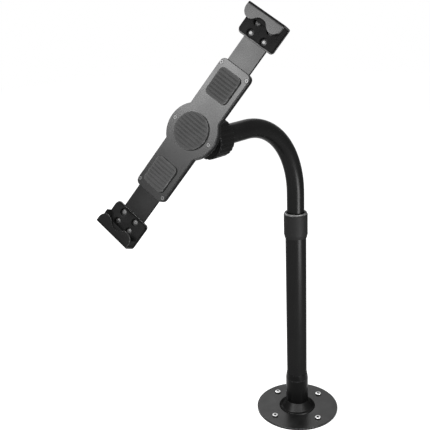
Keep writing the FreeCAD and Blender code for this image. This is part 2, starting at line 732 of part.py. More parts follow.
def lock_body():
    back = FLOOR_BACK - LOCK_BODY_H
    barrel = rod(LOCK_BODY_R, back, FLOOR_BACK)
    barrel = barrel.makeChamfer(LOCK_BODY_EDGE, edges_at_height(barrel, back))
    ear_back = FLOOR_BACK - LOCK_EAR_T
    ears = block((-LOCK_EAR_AT, LOCK_EAR_AT), (-LOCK_EAR_R, LOCK_EAR_R), (ear_back, FLOOR_BACK))
    for side in (-1, 1):
        ears = ears.fuse(rod(LOCK_EAR_R, ear_back, FLOOR_BACK, side * LOCK_EAR_AT))
    body = barrel.fuse(ears.removeSplitter()).cut(rod(PLUNGER_R + MOVE_GAP, back - PAST, FLOOR_BACK + PAST))
    holes = [rod(SMALL_SCREW_R + NEST_GAP, back, FLOOR_BACK + PAST, side * LOCK_EAR_AT) for side in (-1, 1)]
    return moved(cut_all(body, holes), LOCK_X, LOCK_ACROSS)


def lock_screws():
    screw = small_screw(FLOOR_BACK - LOCK_EAR_T - SMALL_HEAD_H, FLOOR_FRONT - SCREW_SHY)
    return Part.makeCompound([moved(screw, x, y) for x, y in lock_screw_places()])


def space_half_width(y):
    """Half the width of a rack space at a distance from the pinion's axis."""
    return PITCH / 4 - (y - PITCH_R) * math.tan(math.radians(PRESSURE_DEG)) + BACKLASH / 2


def lock_plunger():
    tip = BAR_BACK - 2 * MOVE_GAP
    face = FLOOR_BACK - MOVE_GAP - PLUNGER_TRAVEL
    back = FLOOR_BACK - LOCK_BODY_H - PLUNGER_TAIL
    low_y = PITCH_R - ADDENDUM
    high_y = PITCH_R + DEDENDUM / 2
    low_half = space_half_width(low_y) - COMB_SIDE_GAP
    high_half = space_half_width(high_y) - COMB_SIDE_GAP
    root = low_y - MOVE_GAP
    half = (COMB_TEETH - 1) * PITCH / 2 + low_half
    comb = block((-half, half), (root - COMB_BACK_W, root), (face - PAST, tip))
    for index in range(COMB_TEETH):
        x = (index - (COMB_TEETH - 1) / 2) * PITCH
        tooth = prism([(x - low_half, root - PAST), (x + low_half, root - PAST), (x + low_half, low_y),
                       (x + high_half, high_y), (x - high_half, high_y), (x - low_half, low_y)],
                      face - PAST, tip)
        comb = comb.fuse(tooth)
    barrel = rod(PLUNGER_R, back, face, LOCK_X, LOCK_ACROSS)
    body = barrel.fuse(moved(comb, LOCK_X)).removeSplitter()
    bore_top = back + KEY_PLUG_L
    return body.cut(rod(KEY_PLUG_R + MOVE_GAP, back - PAST, bore_top, LOCK_X, LOCK_ACROSS))


def key_plug():
    back = FLOOR_BACK - LOCK_BODY_H - PLUNGER_TAIL
    low = back - KEY_PLUG_PROUD
    body = rod(KEY_PLUG_R, low, back + KEY_PLUG_L - MOVE_GAP)
    slot = block((-KEY_SLOT_W / 2, KEY_SLOT_W / 2), (-KEY_SLOT_L / 2, KEY_SLOT_L / 2),
                 (low - PAST, low + KEY_SLOT_DEPTH))
    return moved(body.cut(slot), LOCK_X, LOCK_ACROSS)


# Pinion and bars

def pinion():
    base_r = PITCH_R * math.cos(math.radians(PRESSURE_DEG))
    root_r = PITCH_R - DEDENDUM * MODULE
    tip_r = PITCH_R + ADDENDUM * MODULE
    roll = math.tan(math.radians(PRESSURE_DEG)) - math.radians(PRESSURE_DEG)

    def half_angle(radius):
        pressure = math.acos(min(1.0, base_r / radius))
        return math.pi / (2 * PINION_TEETH) + roll - (math.tan(pressure) - pressure)

    def at(radius, angle):
        return (radius * math.cos(angle), radius * math.sin(angle))

    middle_r = (base_r + tip_r) / 2
    outline = []
    for index in range(PINION_TEETH):
        centre = 2 * math.pi * index / PINION_TEETH
        outline += [at(root_r, centre - half_angle(base_r)), at(base_r, centre - half_angle(base_r)),
                    (at(middle_r, centre - half_angle(middle_r)), at(tip_r, centre - half_angle(tip_r))),
                    (at(tip_r, centre), at(tip_r, centre + half_angle(tip_r))),
                    (at(middle_r, centre + half_angle(middle_r)), at(base_r, centre + half_angle(base_r))),
                    at(root_r, centre + half_angle(base_r))]
    bore = rod(PINION_PIN_R + SHAFT_GAP, BAR_BACK - PAST, BAR_FRONT + PAST)
    return prism(outline, BAR_BACK, BAR_FRONT).cut(bore)


def rivet_places():
    """Centres of the rivets between a claw and its bar."""
    x = CLAW_REACH - RIVET_FROM_FACE
    return [(x - along, side * RIVET_ACROSS / 2) for along in (0.0, RIVET_ALONG) for side in (-1, 1)]


def sliding_bar():
    tip_y = PITCH_R - ADDENDUM * MODULE
    root_y = PITCH_R + DEDENDUM * MODULE
    half = BAR_W / 2
    tip_half = space_half_width(tip_y)
    root_half = space_half_width(root_y)
    end = CLAW_REACH - BAR_INSET
    outline = [(-LEG_END, half), (-LEG_END, tip_y)]
    first = -EXTEND_PITCHES - SPARE_PITCHES
    last = LOCK_PITCHES + RETRACT_PITCHES + SPARE_PITCHES
    for index in range(first, last + 1):
        x = index * PITCH
        outline += [(x - tip_half, tip_y), (x - root_half, root_y)]
        outline += [(x + root_half, root_y), (x + tip_half, tip_y)]
    outline += [(FORK_AT, tip_y), (FORK_AT, -half), (end - BAR_CORNER_R, -half), (end, -half + BAR_CORNER_R),
                (end, half - BAR_CORNER_R), (end - BAR_CORNER_R, half)]
    holes = [rod(RIVET_R + NEST_GAP, BAR_BACK - PAST, BAR_FRONT + PAST, x, y) for x, y in rivet_places()]
    return cut_all(prism(outline, BAR_BACK, BAR_FRONT), holes)


def rivets():
    flat_r = RIVET_HEAD_R * DOME_FLAT_R
    bulge_r = RIVET_HEAD_R * DOME_BULGE_R
    bulge_h = RIVET_HEAD_H * DOME_BULGE_H
    low = BAR_BACK - RIVET_HEAD_H
    high = FLANGE_FRONT + RIVET_HEAD_H
    rivet = turned([(0.0, low), (flat_r, low), ((bulge_r, BAR_BACK - bulge_h), (RIVET_HEAD_R, BAR_BACK)),
                    (RIVET_R, BAR_BACK), (RIVET_R, FLANGE_FRONT), (RIVET_HEAD_R, FLANGE_FRONT),
                    ((bulge_r, FLANGE_FRONT + bulge_h), (flat_r, high)), (0.0, high)])
    return Part.makeCompound([moved(rivet, x, y) for x, y in rivet_places()])


# Claws

def lip_outline():
    """Outline of a claw's front lip: two round lobes with a hollow between them."""
    half = CLAW_W / 2
    lobe_y = half - LIP_LOBE_R
    lobe_x = LIP_L - LIP_LOBE_R
    rise = LIP_VALLEY_L - lobe_x
    valley_r = (lobe_y ** 2 + rise ** 2 - LIP_LOBE_R ** 2) / (2 * (LIP_LOBE_R - rise))
    reach = math.hypot(lobe_y, rise + valley_r)
    join_x = lobe_x + LIP_LOBE_R * (rise + valley_r) / reach
    join_y = lobe_y - LIP_LOBE_R * lobe_y / reach

    def at(depth, y):
        return (CLAW_REACH - depth, y)

    return [at(0.0, half), at(lobe_x, half), (at(LIP_L, lobe_y), at(join_x, join_y)),
            (at(LIP_VALLEY_L, 0.0), at(join_x, -join_y)), (at(LIP_L, -lobe_y), at(lobe_x, -half)),
            at(0.0, -half)]


def claw():
    inner = CLAW_REACH - CLAW_T
    turn = CLAW_BEND_R * ARC_MIDDLE
    bent = CLAW_REACH - CLAW_BEND_R
    flange_end = CLAW_REACH - FLANGE_L
    lip_end = CLAW_REACH - LIP_L
    outside = [(flange_end, 0, BAR_FRONT), (bent, 0, BAR_FRONT),
               ((CLAW_REACH - turn, 0, BAR_FRONT + turn), (CLAW_REACH, 0, BAR_FRONT + CLAW_BEND_R)),
               (CLAW_REACH, 0, LIP_FRONT - CLAW_BEND_R),
               ((CLAW_REACH - turn, 0, LIP_FRONT - turn), (bent, 0, LIP_FRONT)), (lip_end, 0, LIP_FRONT)]
    inside = [(lip_end, 0, LIP_BACK), (inner, 0, LIP_BACK), (inner, 0, FLANGE_FRONT),
              (flange_end, 0, FLANGE_FRONT)]
    body = moved(polygon_face(outside + inside).extrude(Vector(0, CLAW_W, 0)), 0, -CLAW_W / 2)
    corners = [e for e in upright_edges(body) if e.CenterOfMass.x < flange_end + SAME]
    body = body.makeFillet(FLANGE_CORNER_R, corners)
    lip_zone = (LIP_BACK - PAST, LIP_FRONT + PAST)
    spare = block((CLAW_REACH - 2 * LIP_L, inner), (-CLAW_W, CLAW_W), lip_zone)
    spare = spare.cut(prism(lip_outline(), LIP_BACK - 2 * PAST, LIP_FRONT + 2 * PAST))
    window = block((inner - PAST, CLAW_REACH + PAST), (-WINDOW_W / 2, WINDOW_W / 2), (FLANGE_FRONT, LIP_BACK))
    holes = [rod(RIVET_R + NEST_GAP, BAR_FRONT - PAST, FLANGE_FRONT + PAST, x, y) for x, y in rivet_places()]
    return cut_all(body, [spare, window] + holes)


def notch_depth(y):
    """Where the edge of the gripped corner lies along the claw line, at a distance across it."""
    corner_x = GRIP_W / 2 * LINE_COS + GRIP_H / 2 * LINE_SIN
    corner_y = GRIP_H / 2 * LINE_COS - GRIP_W / 2 * LINE_SIN
    if y > corner_y:
        return corner_x - (y - corner_y) * LINE_COS / LINE_SIN
    return corner_x - (corner_y - y) * LINE_SIN / LINE_COS


def claw_pads():
    wall = CLAW_REACH - CLAW_T
    half = CLAW_W / 2 - PAD_INSET
    low_x = CLAW_REACH - FLANGE_L + 2 * PAD_INSET
    body = block((low_x, wall), (-half, half), (FLANGE_FRONT, PAD_TOP))
    corners = [e for e in upright_edges(body) if e.CenterOfMass.x < low_x + SAME]
    body = body.makeFillet(FLANGE_CORNER_R - PAD_INSET, corners)
    for side in (-1, 1):
        near, far = side * WINDOW_W / 2, side * half
        near_x = min(notch_depth(near), wall - PAD_INSET)
        wedge = [(wall, near), (wall, far), (notch_depth(far), far), (near_x, near)]
        body = body.fuse(prism(wedge, PAD_TOP, 0.0))
    front_half = half + PAD_INSET - FRONT_PAD_INSET
    front_x = wall - FRONT_PAD_L
    front = block((front_x, wall), (-front_half, front_half), (0.0, LIP_BACK))
    corners = [e for e in upright_edges(front) if e.CenterOfMass.x < front_x + SAME]
    body = body.fuse(front.makeFillet(FRONT_PAD_T, corners)).removeSplitter()
    well = rod(RIVET_HEAD_R + MOVE_GAP, FLANGE_FRONT - PAST, PAD_TOP + PAST)
    return cut_all(body, [moved(well, x, y) for x, y in rivet_places()])


# Assembly

def save(name, shape):
    """Write one sub-part and say what it holds."""
    solids = shape.Solids
    sound = shape.isValid() and all(solid.Volume > 0 for solid in solids)
    volume = sum(solid.Volume for solid in solids)
    print(f"{name}: {len(solids)} solid(s), {volume:.0f} mm3, {'ok' if sound else 'FAULTY'}")
    shape.exportStep(f"parts/{name}.step")


def main():
    os.makedirs("parts", exist_ok=True)
    fixed = {
        "base_plate": base_plate(), "base_flare": base_flare(), "base_socket": base_socket(),
        "socket_screws": socket_screws(),
        "desk_screws": desk_screws(), "pole": pole(), "pole_bush": pole_bush(),
        "collar_thread": collar_thread(), "clamp_collet": clamp_collet(), "lock_collar": lock_collar(),
        "lift_slider": lift_slider(), "elbow_tube": elbow_tube(), "ball_housing": ball_housing(),
        "housing_screw": housing_screw(), "ball_ring": ball_ring(), "ball_seat": ball_seat(),
        "ball_stud": ball_stud(),
    }
    held = {
        "holder_back": holder_back(), "holder_cover": holder_cover(), "cover_screws": cover_screws(),
        "rest_pads": rest_pads(), "pinion_pin": pinion_pin(), "swivel_washer": swivel_washer(),
        "swivel_cap": swivel_cap(), "swivel_screws": swivel_screws(), "lock_body": lock_body(),
        "lock_screws": lock_screws(), "lock_plunger": lock_plunger(), "key_plug": key_plug(),
        "pinion": pinion(),
    }
    arm = {"bar": sliding_bar(), "claw": claw(), "claw_pads": claw_pads(), "rivets": rivets()}
    for name, shape in fixed.items():
        save(name, shape)
    for name, shape in held.items():
        save(name, placed(shape, HOLDER_FRAME))
    for side, frame in (("upper", HOLDER_FRAME), ("lower", LOWER_FRAME)):
        for name, shape in arm.items():
            save(f"{side}_{name}", placed(shape, frame))


main()
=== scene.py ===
"""Security desk mount with a round base, a post, a bent inner tube, a ball joint and a two-claw holder.

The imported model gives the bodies, the joints and the places. This script makes the pieces that show and
gives every surface its finish. Sizes are in millimetres and become metres when a mesh is made.
"""

import logging
import math
from dataclasses import dataclass
from enum import Enum

import bmesh
import bpy
import numpy as np
from mathutils import Matrix, Vector, geometry

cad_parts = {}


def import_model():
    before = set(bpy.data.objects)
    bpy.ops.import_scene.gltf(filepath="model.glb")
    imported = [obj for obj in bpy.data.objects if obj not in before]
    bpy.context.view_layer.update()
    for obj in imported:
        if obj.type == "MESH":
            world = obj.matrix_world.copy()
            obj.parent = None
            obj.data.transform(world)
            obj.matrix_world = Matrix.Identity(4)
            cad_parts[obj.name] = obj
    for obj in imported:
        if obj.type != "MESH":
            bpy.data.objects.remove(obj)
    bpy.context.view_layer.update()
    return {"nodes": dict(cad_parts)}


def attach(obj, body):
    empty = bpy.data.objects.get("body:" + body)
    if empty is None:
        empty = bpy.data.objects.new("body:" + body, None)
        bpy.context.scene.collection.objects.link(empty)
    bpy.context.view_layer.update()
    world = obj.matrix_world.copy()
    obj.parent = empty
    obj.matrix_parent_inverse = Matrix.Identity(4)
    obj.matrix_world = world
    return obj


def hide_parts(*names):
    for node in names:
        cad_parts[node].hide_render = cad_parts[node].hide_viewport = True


LOG = logging.getLogger("desk_mount")
MM = 0.001
TURN = 2 * math.pi
MERGE_DISTANCE = 2e-6          # metres
SHARP_DEG = 38.0
ROUND_STEPS = 5                # points along the arc of a rounded edge, less one
RING_SEGMENTS = 128
SMALL_SEGMENTS = 72
SUPPORT = 0.25                 # width of the flat strip between a rounded edge and its cap
PAD_STEP = 0.45                # between points along a pad's outline
PAD_ROWS = 90                  # rows of points from a pad's middle to its edge
RIM_SHARE = 0.9                # where a screw head's top begins, as a share of its radius
RECESS_SHARES = (0.98, 0.9, 0.86, 0.4, 0.0)     # rows down a recess, as shares of its reach
RECESS_RISES = (0.08, 0.0, 0.0, -0.1)           # heights of the later rows over the recess's floor
RECESS_DROPS = (0.05, 0.12)    # of the recess's edge under the head's top, and of its first row under that
NEARLY_ALL = 0.999             # of a half width, as the radius of a round end
PAST = 1.0                     # how far a tool reaches past what it cuts
IN_PLANE = 0.01                # how near a face's middle is to the plane that it lies in
# Attribute of edge wear, also used for painted highlights, with negative values for painted shade.
WEAR_AND_PAINTED_LIGHT_LAYER = "wear"
PAINTED_SHADE_WEAR = -1.0                   # wear value that marks painted shade, in a screw's recess and on the side under its head


class Drive(Enum):
    """Recess in a screw's head."""

    CROSS = "cross"
    HEX = "hex"
    SLOT = "slot"


class Marks(Enum):
    """Marks that a tool leaves on bare metal."""

    TURNED = "turned"
    GROUND = "ground"
    PLATED = "plated"


class Side(Enum):
    """The two claws of the holder, with the half turn that the lower one is given."""

    UPPER = 0.0
    LOWER = 180.0


# Places and surfaces


@dataclass(frozen=True)
class Place:
    """A position and turn, as a 4 x 4 matrix that takes local millimetres to the object's millimetres."""

    matrix: np.ndarray

    @staticmethod
    def of_axes(x: np.ndarray, y: np.ndarray, z: np.ndarray, origin: np.ndarray) -> "Place":
        """Place whose axes are three unit vectors.

        Args:
            x: Local x axis.
            y: Local y axis.
            z: Local z axis.
            origin: Local origin in millimetres.

        Returns:
            The place.
        """
        matrix = np.eye(4)
        matrix[:3, :4] = np.stack([x, y, z, origin], axis=1)
        return Place(matrix)

    @staticmethod
    def shift(x: float = 0.0, y: float = 0.0, z: float = 0.0) -> "Place":
        """Place that only moves."""
        return Place.of_axes(*np.eye(3), np.array([x, y, z]))

    @staticmethod
    def spin(degrees: float) -> "Place":
        """Place that only turns about z."""
        angle = math.radians(degrees)
        cos, sin = math.cos(angle), math.sin(angle)
        return Place.of_axes(np.array([cos, sin, 0.0]), np.array([-sin, cos, 0.0]), np.array([0.0, 0.0, 1.0]),
                             np.zeros(3))

    def __matmul__(self, other: "Place") -> "Place":
        """This place after another one."""
        return Place(self.matrix @ other.matrix)

    def apply(self, points: np.ndarray) -> np.ndarray:
        """Points of the local frame, in the object's frame."""
        return points @ self.matrix[:3, :3].T + self.matrix[:3, 3]


def direction(azimuth: float, rise: float) -> np.ndarray:
    """Unit vector at an azimuth and a rise from the horizontal, both in degrees."""
    across, up = math.radians(azimuth), math.radians(rise)
    return np.array([math.cos(across) * math.cos(up), math.sin(across) * math.cos(up), math.sin(up)])


@dataclass
class Patch:
    """Part of a surface: points, faces of three or four corners, a map along the surface and edge wear, whose
    negative values mark painted shade.
    """

    points: np.ndarray
    faces: np.ndarray
    uv: np.ndarray
    wear: np.ndarray

    def at(self, place: Place) -> "Patch":
        """The same patch, carried to a place."""
        return Patch(place.apply(self.points), self.faces, self.uv, self.wear)


def fillet(corners: np.ndarray, radii: np.ndarray, closed: bool = True,
           steps: int = ROUND_STEPS) -> tuple[np.ndarray, np.ndarray]:
    """Line with its corners rounded.

    Each corner has two unit directions towards its neighbours, and half the angle between them is h. The
    arc of radius r touches both sides at r / tan h from the corner, and its centre lies r / sin h along the
    bisector. The arc's points are the two spokes from the centre to the touching points, blended by sines.
    A point on the straight just before and after each arc keeps the flat beside it flat in shading.

    Args:
        corners: Corner points, n x 2.
        radii: Radius at each corner, or one for all.
        closed: Whether the line ends where it starts.
        steps: Steps along each arc.

    Returns:
        The points, n (steps + 3) x 2, and for each whether it lies on an arc.
    """
    points = np.asarray(corners, dtype=float)
    radius = np.broadcast_to(np.asarray(radii, dtype=float), len(points)).copy()
    before = np.roll(points, 1, axis=0) - points
    after = np.roll(points, -1, axis=0) - points
    if not closed:
        radius[[0, -1]] = 0.0
        before[0] = -after[0]
        after[-1] = -before[-1]
    length = np.linalg.norm(after, axis=1)
    before /= np.linalg.norm(before, axis=1, keepdims=True)
    after /= length[:, None]
    half = np.arccos(np.clip((before * after).sum(axis=1), -1.0, 1.0)) / 2
    straight = half > math.pi / 2 - 1e-4
    radius[straight] = 0.0
    half[straight] = math.pi / 4
    middle = before + after
    middle /= np.maximum(np.linalg.norm(middle, axis=1, keepdims=True), 1e-9)
    tangent = radius / np.tan(half)
    free = np.maximum(length - tangent - np.roll(tangent, -1), 0.0)
    strip = np.where(radius > 0, np.minimum(SUPPORT, np.stack([np.roll(free, 1), free]) / 3), 0.0)
    tangent = tangent[:, None]
    centre = points + middle * (radius / np.sin(half))[:, None]
    first = points + before * tangent - centre
    last = points + after * tangent - centre
    sweep = (math.pi - 2 * half)[:, None]
    along = np.linspace(0.0, 1.0, steps + 1)[None, :]
    weight_first = np.sin((1 - along) * sweep) / np.sin(sweep)
    weight_last = np.sin(along * sweep) / np.sin(sweep)
    arcs = centre[:, None] + weight_first[..., None] * first[:, None] + weight_last[..., None] * last[:, None]
    lead = arcs[:, :1] + (before * strip[0][:, None])[:, None]
    trail = arcs[:, -1:] + (after * strip[1][:, None])[:, None]
    rounded = np.concatenate([lead, arcs, trail], axis=1)
    wear = np.zeros(rounded.shape[:2])
    wear[radius > 0, 1:-1] = 1.0
    return rounded.reshape(-1, 2), wear.reshape(-1)


def grid(points: np.ndarray, wear: np.ndarray | None = None) -> Patch:
    """Patch of four-cornered faces between the rows and columns of a grid of points.

    The map's first value is the distance along the rows, measured on the longest one, and its second is
    the distance along the columns, measured on their mean.

    Args:
        points: Grid of points, rows x columns x 3.
        wear: Wear at each point, of any shape that spreads over the grid.

    Returns:
        The patch.
    """
    rows, columns = points.shape[:2]
    index = np.arange(rows * columns).reshape(rows, columns)
    faces = np.stack([index[:-1, :-1], index[1:, :-1], index[1:, 1:], index[:-1, 1:]], axis=-1).reshape(-1, 4)
    across = np.linalg.norm(np.diff(points, axis=1), axis=2)
    longest = across[np.argmax(across.sum(axis=1))]
    along = np.linalg.norm(np.diff(points, axis=0), axis=2).mean(axis=1)
    u = np.concatenate([[0.0], np.cumsum(longest)]) * MM
    v = np.concatenate([[0.0], np.cumsum(along)]) * MM
    uv = np.stack(np.meshgrid(u, v), axis=-1)
    wear_and_painted_light = np.zeros((rows, columns)) if wear is None else np.broadcast_to(wear, (rows, columns))
    return Patch(points.reshape(-1, 3), faces, uv.reshape(-1, 2), wear_and_painted_light.reshape(-1).astype(float))


def turned(profile: np.ndarray, wear: np.ndarray | None = None, segments: int = RING_SEGMENTS,
           swell: np.ndarray | None = None) -> Patch:
    """Surface of revolution: each point of the profile, at radius r and height h, goes round the z axis.

    Args:
        profile: Radius and height of each point, n x 2.
        wear: Wear of each point.
        segments: Steps round the axis.
        swell: Added to the radius, n x (segments + 1).

    Returns:
        The patch.
    """
    angle = np.linspace(0.0, TURN, segments + 1)[None, :]
    radius = profile[:, :1] + (0.0 if swell is None else swell)
    height = np.broadcast_to(profile[:, 1:], (len(profile), segments + 1))
    points = np.stack([radius * np.cos(angle), radius * np.sin(angle), height], axis=-1)
    return grid(points, None if wear is None else wear[:, None])


def closed_up(points: np.ndarray, axis: int = 0) -> np.ndarray:
    """Array with its first entry along an axis repeated at its end."""
    return np.concatenate([points, points.take([0], axis=axis)], axis=axis)


def lathe(corners: list[tuple[float, float]], radii: list[float] | float, closed: bool = False,
          segments: int = RING_SEGMENTS, steps: int = ROUND_STEPS) -> Patch:
    """Surface of revolution of a line with rounded corners.

    Args:
        corners: Radius and height of each corner.
        radii: Rounding of each corner, or one for all.
        closed: Whether the line ends where it starts, as round a ring.
        segments: Steps round the axis.
        steps: Steps along each rounding.

    Returns:
        The patch.
    """
    profile, wear = fillet(np.array(corners), np.array(radii), closed, steps)
    if closed:
        profile, wear = closed_up(profile), closed_up(wear)
    return turned(profile, wear, segments)


def circle(radius: float, x: float = 0.0, y: float = 0.0, segments: int = SMALL_SEGMENTS) -> np.ndarray:
    """Outline of a circle, anticlockwise."""
    angle = np.arange(segments) * TURN / segments
    return np.stack([x + radius * np.cos(angle), y + radius * np.sin(angle)], axis=1)


def outward(outline: np.ndarray) -> np.ndarray:
    """Directions in which a closed anticlockwise outline grows evenly.

    At each point these are the sum of the two neighbouring sides' unit normals, divided by one plus their
    product, so that a shift by d moves both sides by d.

    Args:
        outline: Points, n x 2, with no two alike in a row.

    Returns:
        The directions, n x 2.
    """
    side = np.roll(outline, -1, axis=0) - outline
    side /= np.linalg.norm(side, axis=1, keepdims=True)
    normal = np.stack([side[:, 1], -side[:, 0]], axis=1)
    previous = np.roll(normal, 1, axis=0)
    return (normal + previous) / (1 + (normal * previous).sum(axis=1))[:, None]


def distinct(outline: np.ndarray) -> np.ndarray:
    """Closed outline without points that repeat the one before."""
    gap = np.linalg.norm(outline - np.roll(outline, 1, axis=0), axis=1)
    return outline[gap > 1e-6]


def even_steps(outline: np.ndarray, step: float) -> np.ndarray:
    """Closed outline with points at about even distances along it.

    Args:
        outline: Points, n x 2.
        step: Distance between two points, about.

    Returns:
        The new points.
    """
    loop = closed_up(outline)
    run = np.concatenate([[0.0], np.cumsum(np.linalg.norm(np.diff(loop, axis=0), axis=1))])
    count = round(run[-1] / step)
    stops = np.arange(count) * run[-1] / count
    return np.stack([np.interp(stops, run, loop[:, axis]) for axis in (0, 1)], axis=1)


def carried(outline: np.ndarray, profile: np.ndarray, wear: np.ndarray) -> Patch:
    """Profile carried along a closed outline.

    The point for an inset i and height h at a corner of the outline lies i against the corner's outward
    direction, at height h.

    Args:
        outline: Closed outline, n x 2, anticlockwise round what is solid.
        profile: Inset and height of each row.
        wear: Wear of each row.

    Returns:
        The patch.
    """
    direction = outward(outline)
    flat = outline[None] - profile[:, 0][:, None, None] * direction[None]
    height = np.broadcast_to(profile[:, 1][:, None, None], flat.shape[:2] + (1,))
    return grid(closed_up(np.concatenate([flat, height], axis=2), axis=1), wear[:, None])


def cap(loops: list[np.ndarray], height: float, up: bool) -> Patch:
    """Flat face inside one outline and outside others.

    Args:
        loops: Outer outline, then those of the holes, each n x 2.
        height: Height of the face.
        up: Whether it faces up.

    Returns:
        The patch, in triangles.
    """
    joined = np.concatenate(loops)
    solid = [np.column_stack([loop, np.zeros(len(loop))]).tolist() for loop in loops]
    faces = np.array(geometry.tessellate_polygon(solid))
    first, second, third = (joined[faces[:, corner]] for corner in range(3))
    edge, other = second - first, third - first
    area = edge[:, 0] * other[:, 1] - edge[:, 1] * other[:, 0]
    wrong = (area > 0) != up
    faces[wrong] = faces[wrong][:, ::-1]
    points = np.column_stack([joined, np.full(len(joined), height)])
    return Patch(points, faces, joined * MM, np.zeros(len(joined)))


def slab(outline: np.ndarray, low: float, high: float, edge: float, holes: tuple[np.ndarray, ...] = (),
         hole_edge: float = 0.2) -> list[Patch]:
    """Plate with rounded edges, with or without holes.

    The side is a profile of insets and heights carried along the outline, a quarter arc at each end and a
    flat strip beside it. A hole has the same profile along its own outline, run the other way.

    Args:
        outline: Closed outline, anticlockwise.
        low: Height of the underside.
        high: Height of the top.
        edge: Rounding of the outer edges.
        holes: Outlines of the holes, anticlockwise.
        hole_edge: Rounding of the holes' edges.

    Returns:
        The patches of the closed plate.
    """
    patches, low_loops, high_loops = [], [], []
    runs = [(distinct(outline), edge)] + [(distinct(hole)[::-1], hole_edge) for hole in holes]
    for run, rounding in runs:
        strip = rounding + SUPPORT
        line, wear = fillet(np.array([(strip, low), (0.0, low), (0.0, high), (strip, high)]),
                            np.array([0.0, rounding, rounding, 0.0]), closed=False)
        patches.append(carried(run, line, wear))
        growth = outward(run)
        low_loops.append(run - growth * line[0, 0])
        high_loops.append(run - growth * line[-1, 0])
    return patches + [cap(low_loops, low, False), cap(high_loops, high, True)]


@dataclass(frozen=True)
class Grooves:
    """Straight grooves across a pad."""

    pitch: float = 4.0
    width: float = 1.3
    depth: float = 0.7
    margin: float = 0.82

    def depth_at(self, flat: np.ndarray, share: np.ndarray) -> np.ndarray:
        """Depth of the grooves: half an ellipse of their width every pitch along x, faded near the edge.

        Args:
            flat: Points in x and y.
            share: Share of the way from the middle to the edge.

        Returns:
            The depth at each point.
        """
        offset = (flat[..., 0] + self.pitch / 2) % self.pitch - self.pitch / 2
        bell = np.clip(1 - (2 * offset / self.width) ** 2, 0.0, 1.0)
        fade = np.clip((1 - share) / (1 - self.margin), 0.0, 1.0)
        return self.depth * np.sqrt(bell) * fade


def round_pad(outline: np.ndarray, low: float, high: float, edge: float, crown: float,
              grooves: Grooves) -> list[Patch]:
    """Soft pad that is crowned over a star-shaped outline.

    The top is the outline drawn in towards its middle by a share s. Its height falls by the crown times s
    squared, and by the grooves. A quarter arc leads to the side.

    Args:
        outline: Closed outline, anticlockwise.
        low: Height of the flat underside.
        high: Height at the middle.
        edge: Rounding of the top edge.
        crown: Fall from the middle to the edge.
        grooves: Grooves in the top.

    Returns:
        The patches of the closed pad.
    """
    loop = even_steps(outline, PAD_STEP)
    middle = (loop.max(axis=0) + loop.min(axis=0)) / 2
    rim = loop - outward(loop) * edge
    share = np.linspace(0.0, 1.0, PAD_ROWS)[:, None]
    flat = middle + share[..., None] * (rim - middle)[None]
    height = high - crown * share ** 2 - grooves.depth_at(flat, share)
    top = closed_up(np.concatenate([flat, height[..., None]], axis=2), axis=1)
    shoulder = high - crown
    line, wear = fillet(np.array([(edge, shoulder), (0.0, shoulder), (0.0, low), (edge, low)]),
                        np.array([0.0, edge, edge / 2, 0.0]), closed=False)
    return [grid(top), carried(loop, line, wear), cap([rim], low, False)]


# Screws and rivets


